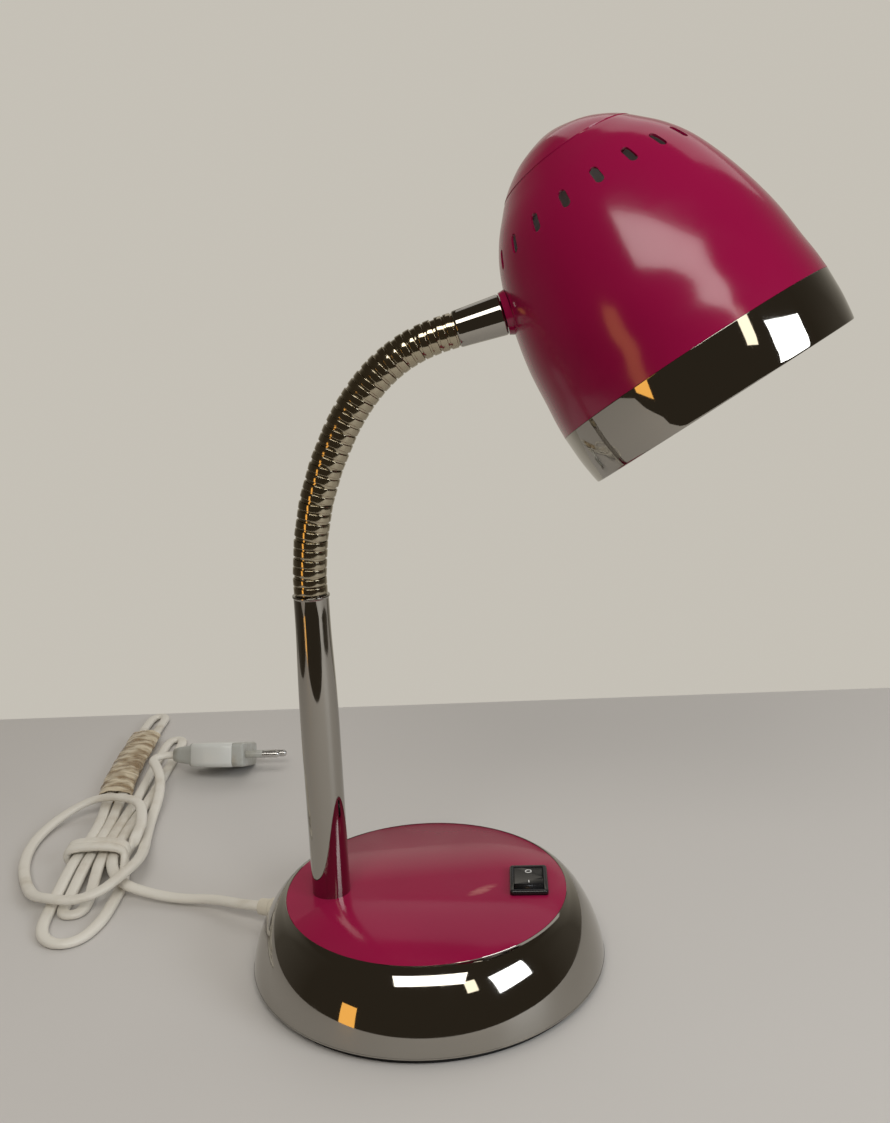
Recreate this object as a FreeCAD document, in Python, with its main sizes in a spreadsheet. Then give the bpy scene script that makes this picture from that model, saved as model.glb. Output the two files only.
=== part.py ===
"""Gooseneck desk lamp: chrome base and post, ribbed neck, magenta shade, flat cord with plug.

Frame: millimetres, +Z up, origin at the centre of the base's foot, +X from the post to the switch.
"""
import FreeCAD
import Part
import Sketcher
import math
import os
import re
from FreeCAD import Placement, Rotation, Vector

doc = FreeCAD.newDocument("DeskLamp")
sheet = doc.addObject("Spreadsheet::Sheet", "Sizes")

# Driving dimensions, in millimetres and degrees
SIZES = {
    # base
    "base_r": 70.0, "pad_r": 67.5, "pad_t": 2.8, "ring_t": 0.8, "foot_round_r": 1.0, "lip_width": 3.2,
    "crown_r": 39.3, "ring_bead": 0.5, "seat_width": 4.0, "disc_r": 55.6, "disc_z": 30.3, "disc_t": 1.2,
    "disc_edge": 0.3, "cover_t": 1.2, "weight_r": 50.0, "weight_z": 16.0, "leg_r": 5.0, "leg_circle_r": 40.0,
    "screw_r": 1.5, "screw_head_r": 3.2, "screw_grip": 6.0,
    # post and its clamping nut
    "post_x": -37.8, "post_r": 7.5, "post_wall": 1.1, "post_z": 152.2, "swage_r": 6.65, "swage_length": 14.0,
    "swage_run": 28.0, "post_lip": 0.35, "washer_r": 13.0, "washer_t": 1.5, "post_nut_flats": 23.0,
    "post_nut_t": 4.5, "post_end": 0.6, "plug_length": 14.0, "spigot_r": 4.0, "spigot_length": 3.5,
    # rocker switch
    "switch_x": 40.8, "switch_y": -0.2, "switch_turn": -3.0, "bezel_width": 15.0, "bezel_length": 21.0,
    "bezel_t": 2.0, "bezel_wall": 1.6, "bezel_round": 1.2, "bezel_edge": 0.5, "switch_width": 13.6,
    "switch_length": 19.6, "switch_depth": 12.0, "switch_floor": 1.6, "rocker_gap": 0.25,
    "rocker_angle": 5.5, "rocker_rise": 3.3, "rocker_drop": 1.6, "pivot_r": 1.2, "pivot_depth": 1.4,
    "pivot_reach": 0.6, "pivot_clearance": 0.05,
    "blade_width": 4.8, "blade_t": 0.8, "blade_length": 7.0, "blade_pitch": 5.6, "blade_gap": 0.1,
    "blade_drop": 0.7, "lever_depth": 7.5, "lever_t": 0.8, "lever_width": 4.0, "lever_length": 13.0,
    "nib_r": 1.0, "nib_length": 5.0, "weight_gap": 1.5,
    # mains entry
    "bush_turn": 158.6, "bush_z": 8.4, "bush_r": 4.4, "bush_nose_r": 3.4, "bush_flange_t": 2.2,
    "bush_nose": 5.8, "bush_shank_r": 3.6, "bush_bore_r": 2.5, "bush_in": 4.0, "flex_r": 2.2, "wire_r": 0.9,
    "clamp_length": 7.0, "clamp_width": 18.0, "clamp_wall": 1.6, "clamp_from_edge": 13.0,
    "block_length": 18.0, "block_width": 15.0, "block_height": 8.0,
    # ribbed neck
    "link_pitch": 7.065, "rib_r": 6.35, "rib_valley_r": 5.75, "rib_gap": 0.85, "joint_gap": 1.15,
    "rib_edge": 0.16, "neck_bore_r": 2.6, "ball_r": 4.6, "ball_depth": 2.5, "ball_clearance": 0.05,
    "neck_turn": 74.8,
    # ferrule, boss and nipple
    "ferrule_length": 17.6, "ferrule_r": 6.6, "ferrule_end_r": 7.4, "ferrule_edge": 0.4, "nipple_r": 4.8,
    "nipple_bore_r": 2.6, "nipple_head_r": 5.7, "nipple_head_t": 2.0, "neck_bush_t": 6.5, "swivel_gap": 0.25,
    "boss_r": 7.6, "boss_foot_r": 8.6, "nipple_nut_flats": 13.0, "nipple_nut_t": 3.0, "nipple_end": 1.0,
    "bracket_stand": 1.4,
    # shade, measured along its own axis from the mouth
    "shade_reach": 66.8, "shade_drop": 55.4, "shade_tilt": 74.55, "shade_roll": 11.84, "shade_t": 0.8,
    "mouth_r": 50.8, "band_height": 19.5, "band_r": 52.6, "band_round_r": 60.0, "mouth_bead": 1.0,
    "spigot_rise": 4.0, "waist_u": 65.0, "waist_r": 46.3, "skirt_round_r": 205.0, "seam_u": 100.0,
    "seam_r": 27.0, "shoulder_round_r": 71.5, "cap_round_r": 34.5, "cap_skirt": 4.0, "seam_gap": 0.3,
    "slot_u": 83.0, "slot_r": 39.6, "slot_length": 7.0, "slot_width": 3.0, "slot_lean": 29.0,
    # lampholder and bulb
    "holder_r": 12.6, "holder_low": 66.0, "holder_high": 96.0, "holder_wall": 2.0, "flex_loop": 10.0,
    "shell_r": 7.6, "shell_t": 0.4, "shell_low": 71.0, "contact_r": 3.0, "contact_t": 0.6, "bracket_t": 1.2,
    "bracket_width": 12.0, "bracket_up": 8.5, "bracket_down": 7.5, "bracket_over": 9.0,
    "bulb_r": 22.5, "bulb_centre_u": 35.0, "bulb_neck_r": 6.6, "bulb_wall": 0.7, "bulb_cap_r": 7.55,
    "bulb_cap_low": 72.0, "bulb_cap_length": 16.0, "bulb_tip_r": 2.6, "bulb_tip": 2.0, "filament_r": 0.4,
    "filament_width": 14.0, "filament_drop": 26.0,
    # flat cord, its wrap and the plug
    "cord_width": 5.4, "cord_t": 3.4, "grip_length": 12.0, "grip_width": 19.0, "grip_t": 11.0,
    "shell_length": 31.0, "shell_width": 34.0, "shell_height": 13.6, "grip_round": 3.0, "pin_r": 2.0,
    "pin_length": 19.0, "pin_spread": 18.6, "pin_root": 8.0, "pin_root_r": 1.5,
    "plug_x": -146.0, "plug_y": 194.0, "plug_turn": -4.0, "plug_lean": 21.0, "wrap_t": 0.5,
    "cord_gap": 0.15, "cord_lift": 0.6, "wrap_x": -159.4, "wrap_y": 82.0, "wrap_half_width": 14.8,
    "wrap_pitch": 5.2, "sleeve_width": 19.0, "sleeve_height": 8.0,
    "straight_end": 8.5,
    # one overrun serves all cuts
    "overrun": 2.0,
}
for row, (alias, number) in enumerate(SIZES.items(), start=1):
    sheet.set(f"A{row}", alias)
    sheet.set(f"B{row}", str(number))
    sheet.setAlias(f"B{row}", alias)
doc.recompute()


class Sizes:
    """Every driving dimension, read back from the sheet."""

    def __getattr__(self, alias):
        return float(sheet.get(alias))


size = Sizes()

# Counts and shares chosen by hand
LEG_COUNT = 4
SLOT_COUNT = 20
SLOT_PHASE = 0.774
LINK_COUNT = 17
RIBS_PER_LINK = 2
TURN_SHARES = {1: 0.0768, 3: 0.0814, 5: 0.0981, 7: 0.0852, 9: 0.0742, 10: 0.0585,
               11: 0.0713, 12: 0.0860, 13: 0.0958, 14: 0.1047, 15: 0.0996, 16: 0.0684}

ORIGIN = Vector(0, 0, 0)
UP = Vector(0, 0, 1)
PIECES = []


def linked(formula):
    """A formula of sheet aliases as an expression of the document."""
    return re.sub(r"[a-z_]\w*", lambda word: word[0] if word[0] in ("sin", "cos", "tan", "sqrt", "pi")
                  else "Sizes." + word[0], formula)


def value(formula):
    """The number that a formula of sheet aliases gives."""
    return float(sheet.evalExpression(formula))


def bind(item, **formulas):
    """Tie properties of an object to formulas; a double underscore stands for a dot."""
    for name, formula in formulas.items():
        item.setExpression(name.replace("__", "."), linked(formula))
    return item


def piece(item, label, place=None):
    """Name an object as one sub-part of the lamp and set where it stands."""
    item.Label = label
    if place is not None:
        item.Placement = place
    PIECES.append(item)
    return item


def plane_of(body, role):
    """One of a body's own origin planes."""
    return next(feature for feature in body.Origin.OriginFeatures if feature.Role == role)


def sketch_outline(body, role, corners):
    """A closed sketch through corners (x, y) or (x, y, arc radius, side), counter-clockwise.

    The third entry makes the edge that leaves the corner an arc; the side is "out" or "in".
    """
    sketch = body.newObject("Sketcher::SketchObject", "Outline")
    sketch.AttachmentSupport = [(plane_of(body, role), "")]
    sketch.MapMode = "FlatFace"
    places = [Vector(value(corner[0]), value(corner[1]), 0) for corner in corners]
    ends = []
    for index, corner in enumerate(corners):
        start = places[index]
        stop = places[(index + 1) % len(corners)]
        if len(corner) == 2:
            edge = sketch.addGeometry(Part.LineSegment(start, stop), False)
            ends.append((edge, 1, 2))
            continue
        radius = value(corner[2])
        outward = corner[3] == "out"
        chord = stop - start
        half = chord.Length / 2
        right = Vector(chord.y, -chord.x, 0).normalize() * (1 if outward else -1)
        sagitta = radius - math.sqrt(radius ** 2 - half ** 2)
        middle = (start + stop) * 0.5 + right * sagitta
        if outward:
            edge = sketch.addGeometry(Part.Arc(start, middle, stop), False)
            ends.append((edge, 1, 2))
        else:
            edge = sketch.addGeometry(Part.Arc(stop, middle, start), False)
            ends.append((edge, 2, 1))
        rule = sketch.addConstraint(Sketcher.Constraint("Radius", edge, radius))
        sketch.setExpression(f"Constraints[{rule}]", linked(corner[2]))
    for index, (edge, first, last) in enumerate(ends):
        following, next_first, _ = ends[(index + 1) % len(ends)]
        sketch.addConstraint(Sketcher.Constraint("Coincident", edge, last, following, next_first))
        corner = corners[index]
        for kind, formula, number in (("DistanceX", corner[0], places[index].x),
                                      ("DistanceY", corner[1], places[index].y)):
            rule = sketch.addConstraint(Sketcher.Constraint(kind, -1, 1, edge, first, number))
            sketch.setExpression(f"Constraints[{rule}]", linked(formula))
    return sketch


def turned(label, corners, place=None):
    """A body of revolution about its own Z axis, from an outline of (radius, height) corners."""
    body = doc.addObject("PartDesign::Body", label)
    sketch = sketch_outline(body, "XZ_Plane", corners)
    turn = body.newObject("PartDesign::Revolution", "Turn")
    turn.Profile = sketch
    turn.ReferenceAxis = (sketch, ["V_Axis"])
    turn.Angle = 360
    if place is not None:
        body.Placement = place
    return body


def padded(label, role, corners, depth, start="0"):
    """A body padded from a closed outline along the plane's normal, from start."""
    body = doc.addObject("PartDesign::Body", label)
    sketch = sketch_outline(body, role, corners)
    bind(sketch, AttachmentOffset__Base__z=start)
    pad = body.newObject("PartDesign::Pad", "Pad")
    pad.Profile = sketch
    bind(pad, Length=depth)
    return body


def primitive(kind, place, bottom, x, y, **formulas):
    """A Part primitive at (x, y, bottom) of the lamp's frame, or along the Z axis of a place."""
    item = bind(doc.addObject(kind, kind.split("::")[1]), **formulas)
    if place is None:
        return bind(item, Placement__Base__x=x, Placement__Base__y=y, Placement__Base__z=bottom)
    item.Placement = place * Placement(Vector(value(x), value(y), value(bottom)), Rotation())
    return item


def rod(radius, height, bottom="0", x="0", y="0", place=None):
    """A cylinder."""
    return primitive("Part::Cylinder", place, bottom, x, y, Radius=radius, Height=height)


def cone(low_r, high_r, height, bottom="0", x="0", y="0", place=None):
    """A cone frustum."""
    return primitive("Part::Cone", place, bottom, x, y, Radius1=low_r, Radius2=high_r, Height=height)


def hexagon(flats, height, bottom="0", x="0", y="0", place=None):
    """A six-sided prism for a nut."""
    return primitive("Part::Prism", place, bottom, x, y, Circumradius=f"({flats}) / sqrt(3)", Height=height)


def block(length, width, height, bottom="0", x="0", y="0", place=None):
    """A box centred on (x, y)."""
    return primitive("Part::Box", place, bottom, f"({x}) - ({length}) / 2", f"({y}) - ({width}) / 2",
                     Length=length, Width=width, Height=height)


def joined(*items):
    """Several objects fused into one."""
    fuse = doc.addObject("Part::MultiFuse", "Joined")
    fuse.Shapes = list(items)
    return fuse


def grouped(*items):
    """Several separate solids kept as one sub-part."""
    group = doc.addObject("Part::Compound", "Group")
    group.Links = list(items)
    return group


def less(base, *tools):
    """An object with others cut away."""
    cut = doc.addObject("Part::Cut", "Less")
    cut.Base = base
    cut.Tool = tools[0] if len(tools) == 1 else joined(*tools)
    return cut


def shaped(shape, name="Shaped"):
    """A document object that holds a shape made with Part's functions."""
    item = doc.addObject("Part::Feature", name)
    item.Shape = shape
    return item


def rounded_corners(width, length, radius):
    """The outline of a rectangle with rounded corners, centred on the origin."""
    return [(f"{width} / 2 - {radius}", f"-{length} / 2", radius, "out"),
            (f"{width} / 2", f"-{length} / 2 + {radius}"),
            (f"{width} / 2", f"{length} / 2 - {radius}", radius, "out"),
            (f"{width} / 2 - {radius}", f"{length} / 2"),
            (f"-{width} / 2 + {radius}", f"{length} / 2", radius, "out"),
            (f"-{width} / 2", f"{length} / 2 - {radius}"),
            (f"-{width} / 2", f"-{length} / 2 + {radius}", radius, "out"),
            (f"-{width} / 2 + {radius}", f"-{length} / 2")]


def radial(radius, turn, height):
    """A point at a distance from the base's axis, at an angle from +X."""
    angle = math.radians(turn)
    return Vector(radius * math.cos(angle), radius * math.sin(angle), height)


RUN_SHARE = 0.45


def route(name, points, report=False):
    """Straight runs between points, joined by tangent arcs as large as the runs allow."""
    edges = []
    radii = []
    here = points[0]
    for before, corner, after in zip(points, points[1:], points[2:]):
        arriving = corner - before
        leaving = after - corner
        half_turn = arriving.getAngle(leaving) / 2
        reach = RUN_SHARE * min(arriving.Length, leaving.Length)
        radius = reach / math.tan(half_turn)
        arriving.normalize()
        leaving.normalize()
        first = corner - arriving * reach
        last = corner + leaving * reach
        inward = (leaving - arriving).normalize()
        middle = corner + inward * (radius / math.cos(half_turn) - radius)
        edges.append(Part.LineSegment(here, first).toShape())
        edges.append(Part.Arc(first, middle, last).toShape())
        radii.append(radius)
        here = last
    edges.append(Part.LineSegment(here, points[-1]).toShape())
    if report:
        print(f"{name}: length {Part.Wire(edges).Length:.0f}, radii {[round(radius, 1) for radius in radii]}")
    return Part.Wire(edges)


def tube(path, radius):
    """A round solid along a path."""
    first = path.OrderedEdges[0]
    section = Part.Wire([Part.makeCircle(radius, first.valueAt(first.FirstParameter),
                                         first.tangentAt(first.FirstParameter))])
    return path.makePipeShell([section], True, False)


# Heights and lengths that follow from the driving dimensions
SEAT_Z = "(disc_z - disc_t)"
COVER_TOP = "(pad_t + cover_t)"
POST_BOTTOM = "(weight_z - washer_t - post_nut_t - post_end)"
LIP_R = "(base_r - foot_round_r - lip_width)"
CAVITY_WIDTH = "(bezel_width - 2 * bezel_wall)"
CAVITY_LENGTH = "(bezel_length - 2 * bezel_wall)"
POST_BORE_R = "(swage_r - post_wall)"
BUSH_IN_R = "(base_r - ring_t - bush_in)"
BUSH_TIP_R = "(base_r + bush_flange_t + bush_nose)"
BLOCK_MIDDLE = size.pad_t + size.cover_t + size.block_height / 2


def leg_places():
    """The places of the weight's legs, as formulas."""
    turns = [(index + 1 / 2) * 360 / LEG_COUNT for index in range(LEG_COUNT)]
    return [(f"leg_circle_r * cos({turn})", f"leg_circle_r * sin({turn})") for turn in turns]


def bush_place():
    """The mains bush's axis, outwards from the base's middle."""
    start = radial(0, size.bush_turn, size.bush_z)
    return Placement(start, Rotation(UP, radial(size.base_r, size.bush_turn, 0)))


def switch_place():
    """The switch's middle, at the top of the disc."""
    return Placement(Vector(size.switch_x, size.switch_y, size.disc_z), Rotation(UP, size.switch_turn))


def build_base():
    """Ring, disc, weight, cover, pad and screws."""
    ring = turned("RingForm", [
        (LIP_R, "pad_t"),
        ("base_r - foot_round_r", "pad_t", "foot_round_r", "out"),
        ("base_r", "pad_t + foot_round_r", "crown_r", "out"),
        ("disc_r + ring_bead", "disc_z"),
        ("disc_r", "disc_z"),
        ("disc_r", SEAT_Z),
        ("disc_r - seat_width", SEAT_Z),
        ("disc_r - seat_width", f"{SEAT_Z} - ring_t"),
        ("disc_r + ring_bead - ring_t", f"{SEAT_Z} - ring_t", "(crown_r - ring_t)", "in"),
        ("base_r - ring_t", "pad_t + foot_round_r"),
        ("base_r - ring_t", "pad_t + ring_t"),
        (LIP_R, "pad_t + ring_t")])
    bush_hole = rod("bush_shank_r", "bush_in + overrun", f"{BUSH_IN_R} + ring_t", place=bush_place())
    piece(less(ring, bush_hole), "base_ring")

    disc = turned("DiscForm", [
        ("0", SEAT_Z), ("disc_r", SEAT_Z), ("disc_r", "disc_z - disc_edge"),
        ("disc_r - disc_edge", "disc_z"), ("0", "disc_z")])
    window = block("switch_width", "switch_length", "disc_t + 2 * overrun", "-disc_t - overrun",
                   place=switch_place())
    piece(less(disc, rod("post_r", "disc_z + overrun", x="post_x"), window), "base_disc")

    legs = [rod("leg_r", f"weight_z + overrun - {COVER_TOP}", COVER_TOP, x, y) for x, y in leg_places()]
    weight = joined(rod("weight_r", f"{SEAT_Z} - weight_z", "weight_z"), *legs)
    bores = [rod("screw_r", "screw_grip + cover_t", "pad_t", x, y) for x, y in leg_places()]
    notch = block("switch_width + 2 * weight_gap + weight_r", "switch_length + 2 * weight_gap", "disc_z",
                  "-disc_z", x="weight_r / 2", place=switch_place())
    piece(less(weight, rod("post_r", "disc_z", x="post_x"), notch, *bores), "base_weight")

    sinks = [cone("screw_head_r", "screw_r", "cover_t", "pad_t", x, y) for x, y in leg_places()]
    piece(less(rod(LIP_R, "cover_t", "pad_t"), *sinks), "base_cover")
    screws = [joined(cone("screw_head_r", "screw_r", "cover_t", "pad_t", x, y),
                     rod("screw_r", "screw_grip + cover_t", "pad_t", x, y)) for x, y in leg_places()]
    piece(grouped(*screws), "cover_screws")
    piece(rod("pad_r", "pad_t"), "base_pad")


def build_post():
    """Post with its washer and nut, and the plug that joins it to the neck."""
    swage_start = "(post_z - swage_length - swage_run)"
    post = turned("post", [
        ("post_r - post_wall", POST_BOTTOM), ("post_r", POST_BOTTOM), ("post_r", swage_start),
        ("swage_r", "post_z - swage_length"), ("swage_r", "post_z - 3 * post_lip"),
        ("swage_r + post_lip", "post_z - 2 * post_lip"), ("swage_r + post_lip", "post_z - post_lip"),
        ("swage_r", "post_z"), (POST_BORE_R, "post_z"), (POST_BORE_R, "post_z - swage_length"),
        ("post_r - post_wall", swage_start)])
    upright = Placement(Vector(size.post_x, 0, 0), Rotation())
    piece(post, "post", upright)
    piece(less(rod("washer_r", "washer_t", "weight_z - washer_t", "post_x"),
               rod("post_r", "disc_z", x="post_x")), "post_washer")
    piece(less(hexagon("post_nut_flats", "post_nut_t", "weight_z - washer_t - post_nut_t", "post_x"),
               rod("post_r", "disc_z", x="post_x")), "post_nut")
    piece(turned("neck_plug", [
        ("neck_bore_r", "post_z - plug_length"), (POST_BORE_R, "post_z - plug_length"),
        (POST_BORE_R, "post_z"),
        ("spigot_r", "post_z"), ("spigot_r", "post_z + spigot_length"),
        ("neck_bore_r", "post_z + spigot_length")]), "neck_plug", upright)


def top_edges(feature):
    """The names of the edges that lie on a feature's top."""
    top = feature.Shape.BoundBox.ZMax
    return [f"Edge{index}" for index, edge in enumerate(feature.Shape.Edges, start=1)
            if edge.BoundBox.ZMin > top - size.bezel_edge / 2]


def build_switch():
    """Housing, rocker, see-saw contact and terminals, in the switch's own frame."""
    here = switch_place()
    frame = doc.addObject("PartDesign::Body", "BezelForm")
    outline = sketch_outline(frame, "XY_Plane", rounded_corners("bezel_width", "bezel_length", "bezel_round"))
    pad = frame.newObject("PartDesign::Pad", "Bezel")
    pad.Profile = outline
    bind(pad, Length="bezel_t")
    doc.recompute()
    edge = frame.newObject("PartDesign::Chamfer", "BezelEdge")
    edge.Base = (pad, top_edges(pad))
    bind(edge, Size="bezel_edge")
    box = block("switch_width", "switch_length", "switch_depth", "-switch_depth")
    cavity = block(CAVITY_WIDTH, CAVITY_LENGTH, "switch_depth - switch_floor + bezel_t + overrun",
                   "switch_floor - switch_depth")
    across = Placement(Vector(-size.bezel_width / 2, 0, -size.pivot_depth), Rotation(UP, Vector(1, 0, 0)))
    pivot_hole = rod("pivot_r + pivot_clearance", "switch_width - pivot_clearance",
                     "(bezel_width - switch_width + pivot_clearance) / 2", place=across)
    slits = [block("blade_width", "blade_t", "switch_depth", "-switch_depth - overrun", y=place)
             for place in ("0", "blade_pitch")]
    piece(less(joined(frame, box), cavity, pivot_hole, *slits), "switch_housing", here)

    reach = f"({CAVITY_LENGTH} / 2 - rocker_gap)"
    slope = "tan(rocker_angle)"
    tip_y = (f"((sqrt({reach} ^ 2 * (1 + {slope} ^ 2) - rocker_rise ^ 2) - rocker_rise * {slope})"
             f" / (1 + {slope} ^ 2))")
    tip_z = f"(rocker_rise + {tip_y} * {slope})"
    foot_y = f"sqrt({reach} ^ 2 - rocker_drop ^ 2)"
    width = f"({CAVITY_WIDTH} - 2 * rocker_gap)"
    profile = padded("RockerForm", "YZ_Plane", [
        (f"-{foot_y}", "-rocker_drop"), (foot_y, "-rocker_drop", reach, "out"), (tip_y, tip_z),
        ("0", "rocker_rise"), (f"-{tip_y}", tip_z, reach, "out")], width, f"-{width} / 2")
    along = Placement(ORIGIN, Rotation(UP, Vector(1, 0, 0)))
    pins = rod("pivot_r", f"{CAVITY_WIDTH} + 2 * pivot_reach", f"-{CAVITY_WIDTH} / 2 - pivot_reach",
               place=along)
    nib = rod("nib_r", "nib_length - rocker_drop / 2", "-nib_length")
    tilt = Placement(Vector(0, 0, -size.pivot_depth), Rotation(Vector(1, 0, 0), -size.rocker_angle))
    piece(joined(profile, pins, nib), "switch_rocker", here * tilt)

    seesaw = Placement(Vector(0, 0, -size.lever_depth), Rotation(Vector(1, 0, 0), size.rocker_angle))
    piece(block("lever_width", "lever_length", "lever_t", place=here * seesaw), "switch_lever")
    blades = [block("blade_width", "blade_t", f"blade_length + switch_depth - lever_depth - {drop}",
                    "-switch_depth - blade_length", y=place)
              for place, drop in (("0", "blade_gap"), ("blade_pitch", "(blade_gap + blade_drop)"))]
    piece(grouped(*blades), "switch_terminals", here)


def link_shape(first, last):
    """One rigid link of the neck: two ribs, a bore, a ball below and a socket above.

    Its Z axis runs from the lower joint's centre to the upper joint's centre.
    """
    low = size.joint_gap / 2
    high = size.link_pitch - size.joint_gap / 2
    band = (high - low - (RIBS_PER_LINK - 1) * size.rib_gap) / RIBS_PER_LINK
    rings = [(0, size.rib_valley_r)] if first else []
    for rib in range(RIBS_PER_LINK):
        start = low + rib * (band + size.rib_gap)
        rings += [(start, size.rib_valley_r), (start + size.rib_edge, size.rib_r),
                  (start + band - size.rib_edge, size.rib_r), (start + band, size.rib_valley_r)]
    if last:
        rings.append((size.link_pitch, size.rib_valley_r))
    wires = [Part.Wire([Part.makeCircle(radius, Vector(0, 0, height), UP)]) for height, radius in rings]
    link = Part.makeLoft(wires, True, True)
    if not first:
        below = -math.degrees(math.asin(size.ball_depth / size.ball_r))
        above = math.degrees(math.asin(low / size.ball_r))
        link = link.fuse(Part.makeSphere(size.ball_r, ORIGIN, UP, below, above, 360))
    if not last:
        link = link.cut(Part.makeSphere(size.ball_r + size.ball_clearance, Vector(0, 0, size.link_pitch)))
    if first:
        link = link.cut(Part.makeCylinder(size.spigot_r, size.spigot_length))
    bore = Part.makeCylinder(size.neck_bore_r, size.link_pitch + 2 * size.ball_r, Vector(0, 0, -size.ball_r))
    return link.cut(bore)


def neck_places():
    """The place of each link's lower joint, and of the neck's end."""
    places = []
    here = Placement(Vector(size.post_x, 0, size.post_z), Rotation())
    for index in range(LINK_COUNT):
        turn = TURN_SHARES.get(index, 0) * size.neck_turn
        here = here * Placement(ORIGIN, Rotation(Vector(0, 1, 0), turn))
        places.append(here)
        here = here * Placement(Vector(0, 0, size.link_pitch), Rotation())
    places.append(here)
    return places


def build_neck():
    """Seventeen ribbed links, each turned a little about the one below."""
    for index, place in enumerate(neck_places()[:-1]):
        shape = link_shape(index == 0, index == LINK_COUNT - 1)
        piece(shaped(shape, "Link"), f"neck_link_{index + 1:02d}", place)


def ferrule_place():
    """The neck's end: the ferrule's axis along Z, rolled with the head about it."""
    return neck_places()[-1] * Placement(ORIGIN, Rotation(UP, -size.shade_roll))


def shade_place():
    """The mouth's centre, with Z towards the cap and the ferrule on the -X side."""
    tilt = math.radians(size.shade_tilt)
    towards_mouth = Vector(math.sin(tilt), 0, math.cos(tilt))
    mouth = Vector(0, 0, size.shade_reach) + towards_mouth * size.shade_drop
    return ferrule_place() * Placement(mouth, Rotation(Vector(0, 1, 0), size.shade_tilt - 180))


def shade_skin(start, stop):
    """The outline of the shade's wall from the band to the seam, between two insets from its outside."""
    return [(f"band_r - {start}", "band_height", f"skirt_round_r - {start}", "out"),
            (f"waist_r - {start}", "waist_u", f"shoulder_round_r - {start}", "out"),
            (f"seam_r - {start}", "seam_u"),
            (f"seam_r - {stop}", "seam_u", f"shoulder_round_r - {stop}", "in"),
            (f"waist_r - {stop}", "waist_u", f"skirt_round_r - {stop}", "in"),
            (f"band_r - {stop}", "band_height")]


def shade_solid(inset):
    """The space inside the shade's outside, inset by a formula, as a solid in the shade's place."""
    return turned("ShadeSpace", [
        ("0", "band_height"),
        (f"band_r - {inset}", "band_height", f"skirt_round_r - {inset}", "out"),
        (f"waist_r - {inset}", "waist_u", f"shoulder_round_r - {inset}", "out"),
        (f"seam_r - {inset}", "seam_u"), ("0", "seam_u")], shade_place())


CHAMBER_END = "(neck_bush_t + nipple_head_t + 2 * ball_clearance)"


def wall_distance():
    """How far the shade's outer wall lies along the ferrule's axis from the neck's end."""
    place = ferrule_place()
    axis = Part.makeLine(place.multVec(ORIGIN), place.multVec(Vector(0, 0, size.shade_reach)))
    space = shade_solid("0")
    doc.recompute()
    inside = axis.common(space.Shape)
    return size.shade_reach - inside.Length


def build_ferrule():
    """Ferrule and the bush that closes it, and the boss, nipple and nut that carry the shade."""
    place = ferrule_place()
    piece(turned("ferrule", [
        ("nipple_head_r + ball_clearance", "0"), ("ferrule_r - ferrule_edge", "0"),
        ("ferrule_r", "ferrule_edge"),
        ("ferrule_end_r", "ferrule_length - ferrule_edge"),
        ("ferrule_end_r - ferrule_edge", "ferrule_length"),
        ("nipple_r + ball_clearance", "ferrule_length"), ("nipple_r + ball_clearance", CHAMBER_END),
        ("nipple_head_r + ball_clearance", CHAMBER_END)]), "ferrule", place)
    piece(turned("neck_bush", [
        ("neck_bore_r", "0"), ("nipple_head_r + ball_clearance", "0"),
        ("nipple_head_r + ball_clearance", "neck_bush_t"), ("neck_bore_r", "neck_bush_t")]),
        "neck_bush", place)
    wall = f"({wall_distance():.4f})"
    boss_start = "(ferrule_length + swivel_gap)"
    boss = cone("boss_r", "boss_foot_r", f"{wall} + overrun - {boss_start}", boss_start, place=place)
    piece(less(boss, shade_solid("0"), rod("nipple_r", "shade_reach", place=place)), "shade_boss")
    head_start = "(neck_bush_t + ball_clearance)"
    nut_end = f"({wall} + shade_t + bracket_stand + bracket_t + nipple_nut_t)"
    piece(turned("nipple", [
        ("nipple_bore_r", head_start), ("nipple_head_r", head_start),
        ("nipple_head_r", f"{head_start} + nipple_head_t"), ("nipple_r", f"{head_start} + nipple_head_t"),
        ("nipple_r", f"{nut_end} + nipple_end"), ("nipple_bore_r", f"{nut_end} + nipple_end")]),
        "nipple", place)
    piece(less(hexagon("nipple_nut_flats", "nipple_nut_t", f"{nut_end} - nipple_nut_t", place=place),
               rod("nipple_r", "shade_reach", place=place)), "nipple_nut")
    return wall, nut_end


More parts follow.
